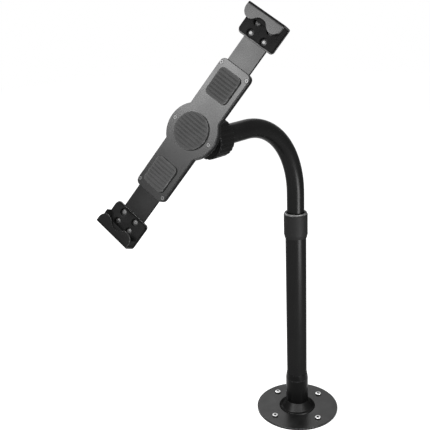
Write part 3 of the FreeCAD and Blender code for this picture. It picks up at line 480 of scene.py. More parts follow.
@dataclass(frozen=True)
class Screw:
    """Screw along z with the seat of its head at z = 0.

    The arm share is half the width of the recess's arm, over its reach.
    """

    head_radius: float
    head_height: float
    shank_radius: float
    length: float
    drive: Drive
    drive_radius: float
    drive_depth: float
    dome: float = 0.0
    sink: float = 0.0
    edge: float = 0.15
    arm_share: float = 0.22

    def directions(self) -> np.ndarray:
        """Angles round the head, with the corners of the recess among them."""
        even = np.linspace(0.0, TURN, SMALL_SEGMENTS + 1)
        arm = math.atan(self.arm_share)
        corners = np.array([arm, math.pi / 4, math.pi / 2 - arm])
        quarters = (corners[None] + np.arange(4)[:, None] * math.pi / 2).reshape(-1)
        sixths = np.arange(6) * math.pi / 3
        return np.unique(np.concatenate([even, quarters, sixths]).round(9))

    def recess(self, angle: np.ndarray) -> np.ndarray:
        """Distance from the axis to the recess's wall in each direction.

        For a cross, within an arm it is the reach over the cosine, and beside it the half width over the
        sine. For a hexagon it is the flat's distance over the cosine from the flat's middle. For a slot it
        is the nearer of its end and its side.

        Args:
            angle: Directions in radians.

        Returns:
            The distances.
        """
        if self.drive is Drive.HEX:
            from_flat = (angle % (math.pi / 3)) - math.pi / 6
            return self.drive_radius * math.cos(math.pi / 6) / np.cos(from_flat)
        half = self.drive_radius * self.arm_share
        cos = np.maximum(np.abs(np.cos(angle)), 1e-9)
        sin = np.maximum(np.abs(np.sin(angle)), 1e-9)
        along_x = np.minimum(self.drive_radius / cos, half / sin)
        if self.drive is Drive.SLOT:
            return along_x
        return np.maximum(along_x, np.minimum(self.drive_radius / sin, half / cos))

    def top(self, radius: np.ndarray) -> np.ndarray:
        """Height of the head's top: a part of a sphere that falls by the dome from middle to rim.

        Args:
            radius: Distances from the axis.

        Returns:
            The heights.
        """
        if self.dome == 0:
            return np.full_like(radius, self.head_height)
        sphere = (self.head_radius ** 2 + self.dome ** 2) / (2 * self.dome)
        return self.head_height - sphere + np.sqrt(np.maximum(sphere ** 2 - radius ** 2, 0.0))

    def patch(self) -> Patch:
        """Whole screw, as rows from its tip up its side, over its head and down into its recess."""
        angle = self.directions()
        rim_height = self.head_height - self.dome
        near_rim = np.array([self.head_radius * RIM_SHARE])
        side = [(0.0, -self.length), (self.shank_radius * 0.4, -self.length),
                (self.shank_radius, -self.length + self.shank_radius)]
        if self.head_radius > self.shank_radius:
            side.append((self.shank_radius, -self.sink))
            if self.sink == 0:
                side.append((self.head_radius, 0.0))
        side += [(self.head_radius, rim_height), (near_rim[0], self.top(near_rim)[0])]
        rounding = [0.0] * (len(side) - 2) + [self.edge, 0.0]
        line, wear = fillet(np.array(side), np.array(rounding), closed=False)
        foot = rim_height - self.edge * 0.9
        # Painted shadow: the head's side under its rounded edge is marked to be painted dark.
        wear[(line[:, 0] > near_rim[0]) & (line[:, 1] < foot)] = PAINTED_SHADE_WEAR
        outer = np.broadcast_to(line[:, :1], (len(line), len(angle)))
        outer_height = np.broadcast_to(line[:, 1:], outer.shape)
        wall = self.recess(angle)
        inward = np.linspace(0.85, 0.0, 7)[:, None]
        over = wall * 1.06 + inward * (near_rim - wall * 1.06)
        rim = np.concatenate([over, wall[None]])
        rim_top = self.top(rim)
        rim_top[-1] -= RECESS_DROPS[0]
        floor = self.head_height - self.drive_depth
        lower = np.array(RECESS_SHARES)[:, None] * wall
        later = floor + np.array(RECESS_RISES)[:, None] + np.zeros_like(wall)
        radius = np.concatenate([outer, rim, lower])
        height = np.concatenate([outer_height, rim_top, rim_top[-1:] - RECESS_DROPS[1], later])
        # The recess's rows are marked for painted shade, its edge row for wear.
        wear_and_painted_light = np.concatenate([wear, np.zeros(len(inward)), [0.5], np.full(len(lower), PAINTED_SHADE_WEAR)])
        points = np.stack([radius * np.cos(angle), radius * np.sin(angle), height], axis=-1)
        return grid(points, wear_and_painted_light[:, None])


def rivet(head_radius: float, head_height: float, radius: float, low: float, high: float) -> Patch:
    """Rivet with a domed head at each end.

    Args:
        head_radius: Radius of the heads.
        head_height: Height of the heads.
        radius: Radius of the shank.
        low: Height where the shank begins.
        high: Height where it ends.

    Returns:
        The patch.
    """
    head = np.array([(0.0, head_height), (0.45 * head_radius, head_height), (head_radius, 0.3 * head_height),
                     (head_radius, 0.0), (radius, 0.0)])
    rounding = [0.0, 0.9, 0.2, 0.0, 0.0]
    line = np.concatenate([head * [1.0, -1.0] + [0.0, low], head[::-1] + [0.0, high]])
    return lathe(line, rounding + rounding[::-1], segments=SMALL_SEGMENTS)


# Meshes and pieces


def make_piece(name: str, patches: list[Patch], place: Place) -> bpy.types.Object:
    """One object from patches, with its place in its mesh.

    Args:
        name: Name of the object.
        patches: Patches in local millimetres.
        place: Where the local frame lies.

    Returns:
        The object, merged, closed, facing outwards and shaded smooth with sharp corners.
    """
    points = np.concatenate([patch.points for patch in patches])
    starts = np.concatenate([[0], np.cumsum([len(patch.points) for patch in patches])])[:-1]
    corners = np.concatenate([(patch.faces + start).reshape(-1) for patch, start in zip(patches, starts)])
    sizes = np.concatenate([np.full(len(patch.faces), patch.faces.shape[1]) for patch in patches])
    mesh = bpy.data.meshes.new(name)
    mesh.vertices.add(len(points))
    mesh.vertices.foreach_set("co", (place.apply(points) * MM).reshape(-1))
    mesh.loops.add(len(corners))
    mesh.loops.foreach_set("vertex_index", corners)
    mesh.polygons.add(len(sizes))
    mesh.polygons.foreach_set("loop_start", np.cumsum(sizes) - sizes)
    mesh.update(calc_edges=True)
    uv = np.concatenate([patch.uv for patch in patches])
    mesh.uv_layers.new(name="along").uv.foreach_set("vector", uv[corners].reshape(-1))
    wear = mesh.attributes.new(WEAR_AND_PAINTED_LIGHT_LAYER, "FLOAT", "POINT")
    wear.data.foreach_set("value", np.concatenate([patch.wear for patch in patches]))
    close_mesh(mesh)
    mesh.shade_smooth()
    mesh.set_sharp_from_angle(angle=math.radians(SHARP_DEG))
    piece = bpy.data.objects.new(name, mesh)
    bpy.context.scene.collection.objects.link(piece)
    return piece


def close_mesh(mesh: bpy.types.Mesh) -> None:
    """Merge a mesh's seams and poles and turn its faces outwards.

    Args:
        mesh: The mesh.
    """
    shape = bmesh.new()
    shape.from_mesh(mesh)
    bmesh.ops.remove_doubles(shape, verts=shape.verts, dist=MERGE_DISTANCE)
    bmesh.ops.recalc_face_normals(shape, faces=shape.faces)
    shape.to_mesh(mesh)
    shape.free()


def add_bevel(piece: bpy.types.Object, width: float, angle_deg: float = SHARP_DEG) -> None:
    """Give a piece a live bevel on its sharp edges.

    Args:
        piece: The piece.
        width: Width of the bevel in millimetres.
        angle_deg: Angle between faces from which an edge is sharp.
    """
    bevel = piece.modifiers.new("edges", "BEVEL")
    bevel.width = width * MM
    bevel.segments = 2
    bevel.limit_method = "ANGLE"
    bevel.angle_limit = math.radians(angle_deg)
    bevel.harden_normals = True
    bevel.use_clamp_overlap = False


def drill(piece: bpy.types.Object, tools: list[Patch], place: Place) -> None:
    """Cut closed tools out of a piece.

    Args:
        piece: The piece.
        tools: Patches of the tools in local millimetres.
        place: Where the tools' local frame lies.
    """
    tool = make_piece("tool", tools, place)
    cut = piece.modifiers.new("cut", "BOOLEAN")
    cut.operation = "DIFFERENCE"
    cut.solver = "EXACT"
    cut.use_self = True
    cut.object = tool
    shape = piece.evaluated_get(bpy.context.evaluated_depsgraph_get())
    mesh = bpy.data.meshes.new_from_object(shape)
    piece.modifiers.clear()
    bpy.data.objects.remove(tool)
    mesh.name = piece.name
    piece.data = mesh
    mesh.set_sharp_from_angle(angle=math.radians(SHARP_DEG))


def box_patches(x: tuple[float, float], y: tuple[float, float], z: tuple[float, float]) -> list[Patch]:
    """Sharp block between two values on each axis."""
    corners = [(x[0], y[0]), (x[1], y[0]), (x[1], y[1]), (x[0], y[1])]
    return slab(np.array(corners), z[0], z[1], 0.0)


@dataclass(frozen=True)
class Hole:
    """Round tool for a hole along z, which may widen towards its top from a height on."""

    radius: float
    low: float
    high: float
    mouth: float = 0.0
    mouth_at: float = 0.0

    def patch(self) -> Patch:
        """The tool, as one line turned about its axis."""
        line = [(0.0, self.low), (self.radius, self.low), (self.radius, self.high), (0.0, self.high)]
        if self.mouth:
            line[2:3] = [(self.radius, self.mouth_at - self.mouth + self.radius),
                         (self.mouth + self.high - self.mouth_at, self.high)]
        return lathe(line, 0.0, segments=SMALL_SEGMENTS)


# Shader trees


Socket = bpy.types.NodeSocket


class Tree:
    """Node tree with short calls that add nodes and join them."""

    def __init__(self, tree: bpy.types.NodeTree) -> None:
        """Start from an empty tree."""
        self.tree = tree
        tree.nodes.clear()

    def feed(self, node: bpy.types.Node, sockets: dict) -> None:
        """Give a node's inputs their values, or join them to other nodes' outputs.

        Args:
            node: The node.
            sockets: Value or socket for each input, by its name or number.
        """
        for key, value in sockets.items():
            if isinstance(value, Socket):
                self.tree.links.new(value, node.inputs[key])
            else:
                node.inputs[key].default_value = value

    def add(self, kind: str, sockets: dict | None = None, **settings: object) -> bpy.types.Node:
        """Add a node.

        Args:
            kind: Its type.
            sockets: Values or sockets for its inputs.
            settings: Its own settings.

        Returns:
            The node.
        """
        node = self.tree.nodes.new(kind)
        for name, value in settings.items():
            setattr(node, name, value)
        self.feed(node, sockets or {})
        return node

    def effect(self, group: bpy.types.NodeTree, sockets: dict) -> bpy.types.bpy_prop_collection:
        """Outputs of an effect's group that is placed in this tree."""
        return self.add("ShaderNodeGroup", sockets, node_tree=group).outputs

    def noise(self, vector: Socket, scale: object, detail: float = 3.0, rough: float = 0.5) -> Socket:
        """Noise from 0 to 1, with a number of cells per metre."""
        return self.add("ShaderNodeTexNoise", {"Vector": vector, "Scale": scale, "Detail": detail,
                                               "Roughness": rough}).outputs[0]

    def math(self, operation: str, first: object, second: object = 0.0) -> Socket:
        """Sum, product or another operation on two values."""
        return self.add("ShaderNodeMath", {0: first, 1: second}, operation=operation).outputs[0]

    def times(self, first: object, second: object) -> Socket:
        """Product of two values."""
        return self.math("MULTIPLY", first, second)

    def spread(self, value: Socket, low: float, high: float, to_low: object = 0.0,
               to_high: object = 1.0) -> Socket:
        """Value carried from one range to another and kept inside it."""
        return self.add("ShaderNodeMapRange", {0: value, 1: low, 2: high, 3: to_low, 4: to_high}).outputs[0]

    def mix(self, share: object, first: object, second: object) -> Socket:
        """Colour between two colours."""
        return self.add("ShaderNodeMix", {0: share, 6: first, 7: second}, data_type="RGBA").outputs[2]

    def place(self) -> Socket:
        """Object coordinates, in metres."""
        return self.add("ShaderNodeTexCoord").outputs["Object"]

    def along(self) -> Socket:
        """The piece's own map, in metres round it and along it."""
        return self.add("ShaderNodeUVMap", uv_map="along").outputs[0]


class Effect(Enum):
    """Effects that several finishes use, each a node group that gives only values over the surface."""

    PEEL = "orange_peel"
    GRAIN = "mould_grain"
    MARKS = "tool_marks"
    WEAR = "edge_wear"
    DUST = "dust"


Effects = dict[Effect, bpy.types.NodeTree]


class EffectTree(Tree):
    """Tree of an effect's node group, which takes a vector and amounts."""

    def __init__(self, name: str, amounts: dict[str, float], outputs: tuple[str, ...]) -> None:
        """Make the group with its sockets.

        Args:
            name: Name of the group.
            amounts: Default of each input beside the vector.
            outputs: Names of the outputs.
        """
        group = bpy.data.node_groups.new(name, "ShaderNodeTree")
        group.interface.new_socket(name="Vector", in_out="INPUT", socket_type="NodeSocketVector")
        for label, amount in amounts.items():
            socket = group.interface.new_socket(name=label, in_out="INPUT", socket_type="NodeSocketFloat")
            socket.default_value = amount
        for label in outputs:
            group.interface.new_socket(name=label, in_out="OUTPUT", socket_type="NodeSocketFloat")
        super().__init__(group)
        self.given = self.add("NodeGroupInput").outputs
        self.sink = self.add("NodeGroupOutput")

    def peel(self) -> None:
        """Orange peel of sprayed powder: soft hills with a finer ripple on them."""
        where, cells = self.given["Vector"], self.given["Cells"]
        hills = self.noise(where, cells, 1.0)
        ripple = self.noise(where, self.times(cells, 3.7), 2.0)
        height = self.math("ADD", self.times(hills, 0.75), self.times(ripple, 0.25))
        self.feed(self.sink, {"Height": height, "Tone": self.noise(where, 22.0, 2.0)})

    def grain(self) -> None:
        """Fine spark-eroded grain of a mould: small pits between flat tops."""
        where, cells = self.given["Vector"], self.given["Cells"]
        pits = self.add("ShaderNodeTexVoronoi", {"Vector": where, "Scale": cells}).outputs["Distance"]
        height = self.times(self.spread(pits, 0.05, 0.6), self.noise(where, cells, 3.0))
        self.feed(self.sink, {"Height": height, "Tone": self.noise(where, 30.0, 3.0)})

    def marks(self) -> None:
        """Tool marks: noise drawn out along the first direction of the piece's map."""
        drawn = self.add("ShaderNodeMapping", {"Vector": self.given["Vector"], "Scale": (0.02, 1.0, 1.0)})
        lines = self.noise(drawn.outputs[0], self.given["Cells"], 2.0, 0.7)
        self.feed(self.sink, {"Height": lines, "Tone": self.spread(lines, 0.3, 0.7)})

    def wear(self) -> None:
        """Mask of edges with wear, which the collar's finish paints as a highlight line and the claws' finish
        partly as a painted highlight: the piece's wear, broken up by noise that leaves at least a share of
        it.

        Recesses and the feet of screw heads give a negative wear, which comes out as a mask of its own, for
        painted shade.
        """
        wear_and_painted_light = self.add("ShaderNodeAttribute", attribute_name=WEAR_AND_PAINTED_LIGHT_LAYER).outputs["Fac"]
        uneven = self.noise(self.given["Vector"], 260.0, 4.0, 0.65)
        broken = self.spread(uneven, 0.42, 0.62, self.given["Least"])
        edge = self.times(self.spread(wear_and_painted_light, 0.2, 1.0), broken)
        # Recess is the negative wear as a mask of painted shade.
        self.feed(self.sink, {"Edge": self.times(edge, self.given["Amount"]),
                              "Recess": self.spread(wear_and_painted_light, 0.0, -1.0)})

    def dust(self) -> None:
        """Mask of thin dust: more where the surface looks up, and patchy."""
        normal = self.add("ShaderNodeNewGeometry").outputs["Normal"]
        up = self.spread(self.add("ShaderNodeSeparateXYZ", {0: normal}).outputs["Z"], 0.2, 1.0)
        patches = self.spread(self.noise(self.given["Vector"], 60.0, 5.0, 0.6), 0.35, 0.75)
        self.feed(self.sink, {"Mask": self.times(self.times(up, patches), self.given["Amount"])})


def make_effects() -> Effects:
    """Build each effect's group once."""
    relief = ("Height", "Tone")
    plans = {
        Effect.PEEL: ({"Cells": 700.0}, relief, EffectTree.peel),
        Effect.GRAIN: ({"Cells": 2500.0}, relief, EffectTree.grain),
        Effect.MARKS: ({"Cells": 4000.0}, relief, EffectTree.marks),
        Effect.WEAR: ({"Amount": 0.5, "Least": 0.0}, ("Edge", "Recess"), EffectTree.wear),
        Effect.DUST: ({"Amount": 0.1}, ("Mask",), EffectTree.dust),
    }
    effects = {}
    for effect, (amounts, outputs, fill_in) in plans.items():
        tree = EffectTree(effect.value, amounts, outputs)
        fill_in(tree)
        effects[effect] = tree.tree
    return effects


# Finishes


Colour = tuple[float, float, float, float]


def grey(level: float) -> Colour:
    """Neutral colour of a linear level."""
    return (level, level, level, 1.0)


@dataclass(frozen=True)
class Finish:
    """What every finish has.

    The slot names the material's slot and is not used here. The slant is the share of gloss left at a slant.
    The relief has a number of cells per metre and a depth in millimetres.
    """

    name: str
    slot: str
    colour: Colour
    roughness: float
    specular: float = 0.5
    metallic: float = 0.0
    slant: float = 1.0
    cells: float = 2500.0
    depth: float = 0.03

    def material(self, effects: Effects) -> bpy.types.Material:
        """Material of this finish.

        Args:
            effects: The shared effects.

        Returns:
            The material.
        """
        material = bpy.data.materials.new(self.name)
        material.use_nodes = True
        tree = Tree(material.node_tree)
        shader = tree.add("ShaderNodeBsdfPrincipled", {
            "Metallic": self.metallic, "Specular IOR Level": self.specular, "Roughness": self.roughness,
            "Specular Tint": grey(self.slant)})
        colour, roughness, height = self.paint(tree, effects)
        bump = tree.add("ShaderNodeBump", {"Height": height, "Distance": self.depth * MM, "Strength": 1.0})
        tree.feed(shader, {"Base Color": colour, "Roughness": roughness, "Normal": bump.outputs[0]})
        tree.add("ShaderNodeOutputMaterial", {"Surface": shader.outputs[0]})
        return material

    def toned(self, share: float) -> Colour:
        """This finish's colour, darker or lighter by a share."""
        return tuple(min(1.0, share * part) for part in self.colour[:3]) + (1.0,)

    def paint(self, tree: Tree, effects: Effects) -> tuple[Socket, Socket, Socket]:
        """Add the nodes of this finish.

        Args:
            tree: The material's tree.
            effects: The shared effects.

        Returns:
            The colour, the roughness and the height of the relief.
        """
        raise NotImplementedError


@dataclass(frozen=True)
class PowderCoat(Finish):
    """Sprayed and baked powder on steel."""

    cells: float = 700.0
    depth: float = 0.02
    relief: Effect = Effect.PEEL
    darker: float = 0.75
    # Colour of the edges: wear on most coats, and a painted highlight on the collar and the claws.
    rubbed: Colour = (0.03, 0.03, 0.031, 1.0)
    wear: float = 0.5
    least: float = 0.0
    polish: float = 0.12
    rougher: float = 0.06
    dust: float = 0.02
    dust_tone: float = 0.35

    def paint(self, tree: Tree, effects: Effects) -> tuple[Socket, Socket, Socket]:
        """Faint change of tone, edges lighter and smoother from wear and, on the collar and the claws, as a
        painted highlight, and dust on what looks up.

        Args:
            tree: The material's tree.
            effects: The shared effects.

        Returns:
            The colour, the roughness and the height of the relief.
        """
        place = tree.place()
        relief = tree.effect(effects[self.relief], {"Vector": place, "Cells": self.cells})
        wear = {"Vector": place, "Amount": self.wear, "Least": self.least}
        wear_and_painted_light = tree.effect(effects[Effect.WEAR], wear)["Edge"]
        dust = tree.effect(effects[Effect.DUST], {"Vector": place, "Amount": self.dust})["Mask"]
        coat = tree.mix(relief["Tone"], self.toned(self.darker), self.colour)
        # The edge colour mixed in here is wear, and on the collar and the claws a painted highlight.
        colour = tree.mix(dust, tree.mix(wear_and_painted_light, coat, self.rubbed), grey(self.dust_tone))
        level = tree.spread(relief["Tone"], 0.2, 0.8, self.roughness - 0.05, self.roughness + self.rougher)
        return colour, tree.math("SUBTRACT", level, tree.times(wear_and_painted_light, self.polish)), relief["Height"]


@dataclass(frozen=True)
class Moulded(PowderCoat):
    """Moulded plastic or rubber, built up as a powder coat is, with the mould's grain for its relief."""

    cells: float = 2500.0
    depth: float = 0.03
    relief: Effect = Effect.GRAIN
    darker: float = 0.8
    rubbed: Colour = (0.12, 0.12, 0.12, 1.0)
    wear: float = 0.35
    polish: float = 0.15
    rougher: float = 0.07
    dust: float = 0.03
    dust_tone: float = 0.4


@dataclass(frozen=True)
class Metal(Finish):
    """Bare or plated metal with its tool's marks."""

    cells: float = 5000.0
    depth: float = 0.004
    marks: Marks = Marks.TURNED
    dirt: Colour = (0.02, 0.02, 0.02, 1.0)

    def paint(self, tree: Tree, effects: Effects) -> tuple[Socket, Socket, Socket]:
        """Marks that also change the gloss, brighter edges from wear, and painted shade in a screw's recess
        and under its head.

        Args:
            tree: The material's tree.
            effects: The shared effects.

        Returns:
            The colour, the roughness and the height of the relief.
        """
        place = tree.place()
        plated = self.marks is Marks.PLATED
        cells = self.cells * (2.0 if self.marks is Marks.GROUND else 1.0)
        lines = tree.effect(effects[Effect.GRAIN if plated else Effect.MARKS],
                            {"Vector": place if plated else tree.along(), "Cells": cells})
        wear = tree.effect(effects[Effect.WEAR], {"Vector": place, "Amount": 0.6})
        body = tree.mix(lines["Tone"], self.toned(0.72), self.colour)
        bright = tree.mix(wear["Edge"], body, self.toned(1.25))
        # Painted shade: the recess and the side under a screw's head are mixed towards a dark colour.
        colour = tree.mix(tree.times(wear["Recess"], 0.9), bright, self.dirt)
        level = tree.spread(lines["Tone"], 0.0, 1.0, self.roughness - 0.06, self.roughness + 0.08)
        return colour, level, lines["Height"]


@dataclass(frozen=True)
class Foam(Finish):
    """Closed-cell foam sheet."""

    cells: float = 1800.0
    depth: float = 0.12

    def paint(self, tree: Tree, effects: Effects) -> tuple[Socket, Socket, Socket]:
        """Cells of uneven size with pits painted darker as painted shade, and a skin that is a little
        lighter.

        Args:
            tree: The material's tree.
            effects: The shared effects.

        Returns:
            The colour, the roughness and the height of the relief.
        """
        place = tree.place()
        small = tree.effect(effects[Effect.GRAIN], {"Vector": place, "Cells": self.cells})
        large = tree.effect(effects[Effect.GRAIN], {"Vector": place, "Cells": self.cells / 3})
        dust = tree.effect(effects[Effect.DUST], {"Vector": place, "Amount": 0.05})["Mask"]
        height = tree.math("ADD", small["Height"], tree.times(large["Height"], 0.8))
        # The pits of the relief are painted darker: painted shade.
        body = tree.mix(tree.spread(height, 0.1, 0.8), self.toned(0.4), self.colour)
        level = tree.spread(small["Tone"], 0.0, 1.0, self.roughness - 0.06, self.roughness)
        return tree.mix(dust, body, grey(0.3)), level, height


class Look(Enum):
    """Every finish of the mount."""

    POWDER = PowderCoat("black_powder_coat", "black_powder", grey(0.0035), 0.3, 0.14)
    TUBE = PowderCoat("black_tube_coat", "black_powder", grey(0.01), 0.3, 0.14, 0.8, 0.45)
    # The claws' sheet edges are painted lighter, partly as wear and partly as a painted highlight.
    CLAW = PowderCoat("black_claw_coat", "black_powder", grey(0.009), 0.3, 0.12, 0.8, 0.6,
                      rubbed=grey(0.07), wear=0.9, least=0.3)
    FOOT = PowderCoat("black_foot_coat", "black_powder", grey(0.008), 0.3, 0.1, 0.85, 0.25)
    # A darker copy of the black powder: painted shade on the socket.
    SOCKET = PowderCoat("black_socket_coat", "black_powder", grey(0.0015), 0.3, 0.06)
    # The collar's mouth rim is painted light grey as a painted highlight line.
    COLLAR = Moulded("grey_collar_plastic", "grey_plastic", grey(0.014), 0.55, 0.15, 0.7, 0.3,
                     rubbed=grey(0.3), wear=0.9, least=0.6)
    NYLON = Moulded("black_nylon", "black_nylon", grey(0.014), 0.5, 0.35, cells=1800.0)
    RUBBER = Moulded("black_rubber", "black_rubber", grey(0.012), 0.72, 0.25, cells=1500.0, depth=0.05,
                     dust=0.08)
    FOAM = Foam("black_foam", "black_foam", grey(0.005), 0.95, 0.06)
    ZINC = Metal("zinc_plate", "zinc_steel", grey(0.6), 0.3, metallic=1.0, marks=Marks.PLATED, cells=3000.0)
    DULL = Metal("dull_zinc_plate", "zinc_steel", grey(0.27), 0.36, metallic=1.0, marks=Marks.PLATED,
                 cells=2500.0)
    STEEL = Metal("turned_steel", "bare_steel", grey(0.45), 0.26, metallic=1.0)
    BLACKENED = Metal("blackened_steel", "black_steel", grey(0.035), 0.38, metallic=0.6, marks=Marks.PLATED)
    BRASS = Metal("cut_brass", "brass", (0.62, 0.42, 0.16, 1.0), 0.28, metallic=1.0, marks=Marks.GROUND)


Materials = dict[Look, bpy.types.Material]


# Places of the sub-assemblies


@dataclass(frozen=True)
class Layout:
    """Where the sub-assemblies stand, in millimetres and degrees."""

    reach: float = 162.0
    arm_height: float = 427.0
    azimuth: float = -75.0
    tilt: float = 20.5
    claw_line: float = 57.0
    face_ahead: float = 60.0

    def aim(self, tilt: float) -> np.ndarray:
        """Unit vector at the holder's azimuth and a rise from the horizontal."""
        return direction(self.azimuth, tilt)

    def ball_centre(self) -> np.ndarray:
        """Centre of the ball."""
        return np.array([0.0, -self.reach, self.arm_height])

    def base(self) -> Place:
        """The object's own frame."""
        return Place.shift()

    def arm_end(self) -> Place:
        """Frame at the ball with z along the tube's end and y up."""
        return Place.shift(*self.ball_centre()) @ LAID

    def seat(self) -> Place:
        """Frame at the ball with z level and towards the holder."""
        out, up = self.aim(0.0), np.array([0.0, 0.0, 1.0])
        return Place.of_axes(np.cross(up, out), up, out, self.ball_centre())

    def stud(self) -> Place:
        """Frame at the ball with the holder's axes: x along the claws' line, z out of the holder's face."""
        face, rise = self.aim(self.tilt), self.aim(self.tilt + 90)
        right = np.cross(rise, face)
        angle = math.radians(self.claw_line)
        line = right * math.cos(angle) + rise * math.sin(angle)
        side = rise * math.cos(angle) - right * math.sin(angle)
        return Place.of_axes(line, side, face, self.ball_centre())

    def holder(self) -> Place:
        """Frame on the plane where the grip's front pads end."""
        return self.stud() @ Place.shift(z=self.face_ahead)

    def claw(self, side: Side) -> Place:
        """Frame of one claw: the holder's, with a half turn for the lower one."""
        return self.holder() @ Place.spin(side.value)


FLIP = Place.of_axes(*np.array([[1.0, 0.0, 0.0], [0.0, -1.0, 0.0], [0.0, 0.0, -1.0]]), np.zeros(3))
OUTWARD = Place.of_axes(*np.array([[0.0, 0.0, -1.0], [0.0, 1.0, 0.0], [1.0, 0.0, 0.0]]), np.zeros(3))
LAID = Place.of_axes(*np.array([[1.0, 0.0, 0.0], [0.0, 0.0, 1.0], [0.0, -1.0, 0.0]]), np.zeros(3))


# Sub-assemblies


@dataclass
class SubAssembly:
    """What every sub-assembly has: where it stands, the materials, and how its pieces join the frame."""

    layout: Layout
    materials: Materials

    def add(self, name: str, patches: list[Patch], place: Place, body: str, look: Look, node: str,
            holes: list[Patch] | None = None, fill: float | None = None) -> None:
        """Make a piece of patches, drill it and dress it.

        Args:
            name: Name of the piece.
            patches: Its patches in local millimetres.
            place: Where the local frame lies.
            body: Body that it rides on.
            look: Its finish.
            node: Node that it stands for.
            holes: Tools to cut out of it, in the same frame.
            fill: How full it is, where it is a soft pad.
        """
        piece = make_piece(name, patches, place)
        if holes:
            drill(piece, holes, place)
        self.dress(piece, body, look, node, fill)

    def dress(self, piece: bpy.types.Object, body: str, look: Look, node: str,
              fill: float | None = None) -> None:
        """Give a piece its finish and tie it to the frame.

        Args:
            piece: The piece.
            body: Body that it rides on.
            look: Its finish.
            node: Node that it stands for.
            fill: How full it is, where it is a soft pad; not used.
        """
        piece.data.materials.clear()
        piece.data.materials.append(self.materials[look])
        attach(piece, body)
        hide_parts(node)
        LOG.info("%s: %d faces, on %s", piece.name, len(piece.data.polygons), body)


@dataclass
class Base(SubAssembly):
    """Round plate with its welded socket, the turned ring round the socket's foot, and its screws."""

    plate_radius: float = 58.0
    plate_thickness: float = 3.0
    plate_edge: float = 0.9
    flare_height: float = 11.5
    flare_lip: float = 0.5
    flare_cone: float = 6.7
    flare_rim: float = 2.8
    flare_rim_edge: float = 0.1
    flare_rim_bevel: float = 0.75
    flare_rim_top: float = 1.25
    flare_rim_root: float = 1.6
    flare_unworn: float = 2.0
    weld_gap: float = 0.1
    pole_radius: float = 14.0
    socket_radius: float = 15.7
    shoulder: float = 50.3
    socket_top: float = 58.5
    socket_mouth: float = 0.4
    pole_gap: float = 0.05
    groove: float = 0.35
    desk_screw: Screw = Screw(4.0, 2.3, 2.0, 19.0, Drive.CROSS, 2.2, 1.6, dome=0.6, edge=0.3, arm_share=0.45)
    desk_screw_circle: float = 42.5
    desk_screw_turn: float = -13.5
    desk_screw_twist: float = 31.0
    desk_hole: Hole = Hole(2.4, -1.0, 4.0)
    grub_screw: Screw = Screw(2.4, 0.0, 2.4, 3.1, Drive.HEX, 1.3, 1.4)
    grub_hole: Hole = Hole(2.5, -1.2, 1.0, 2.75, -0.2)
    grub_height: float = 30.0
    grub_turns: tuple[float, ...] = (100.0, 160.0)

    def build(self) -> None:
        """Make the plate, the foot ring, the socket and both sets of screws."""
        place = self.layout.base()
        seats = [Place.spin(self.desk_screw_turn + 90 * n) @ Place.shift(self.desk_screw_circle)
                 for n in range(4)]
        self.add("plate", [self.plate()], place, "base", Look.POWDER, "base_plate",
                 [self.desk_hole.patch().at(seat) for seat in seats])
        self.add("foot_ring", [self.flare()], place, "base", Look.FOOT, "base_flare")
        on_top = Place.shift(z=self.plate_thickness)
        screws = [self.desk_screw.patch().at(seat @ on_top @ Place.spin(self.desk_screw_twist * n))
                  for n, seat in enumerate(seats)]
        self.add("plate_screws", screws, place, "base", Look.ZINC, "desk_screws")
        out = Place.shift(self.socket_radius, 0.0, self.grub_height) @ OUTWARD
        grubs = [Place.spin(turn) @ out for turn in self.grub_turns]
        self.add("socket", [self.socket()], place, "base", Look.SOCKET, "base_socket",
                 [self.grub_hole.patch().at(grub) for grub in grubs])
        self.add("socket_set_screws", [self.grub_screw.patch().at(grub) for grub in grubs], place, "base",
                 Look.BLACKENED, "socket_screws")

    def plate(self) -> Patch:
        """Plate, as one line turned about the axis."""
        radius, thickness = self.plate_radius, self.plate_thickness
        return lathe([(0.0, 0.0), (radius, 0.0), (radius, thickness), (0.0, thickness)],
                     [0.0, 0.4, self.plate_edge, 0.0], steps=10)

    def flare(self) -> Patch:
        """Ring with a steep cone, a hollow at the cone's foot and a thin rim with a bevelled edge."""
        low, bore = self.plate_thickness, self.socket_radius + self.weld_gap
        lip = bore + self.flare_lip
        foot = lip + self.flare_cone
        rim, root, top = foot + self.flare_rim, low + self.flare_rim_root, low + self.flare_height
        patch = lathe([(bore, low), (rim, low), (rim, low + self.flare_rim_edge),
                       (rim - self.flare_rim_bevel, low + self.flare_rim_top), (foot, root), (lip, top),
                       (bore, top)], [0.0, 0.0, 0.0, 0.3, 2.2, 0.25, 0.15], closed=True, steps=10)
        patch.wear[patch.points[:, 2] < root + self.flare_unworn] = 0.0
        return patch

    def socket(self) -> Patch:
        """Socket with a groove under its shoulder and a taper up to the post."""
        bore = self.pole_radius + self.pole_gap
        low, deep = self.shoulder - 2 * self.groove, self.groove
        return lathe([(bore, self.plate_thickness), (self.socket_radius, self.plate_thickness),
                      (self.socket_radius, low), (self.socket_radius - deep, low + deep),
                      (self.socket_radius, self.shoulder), (bore + self.socket_mouth, self.socket_top),
                      (bore, self.socket_top)],
                     [0.0, 0.2, 0.15, 0.12, 0.5, 0.25, 0.0], closed=True)


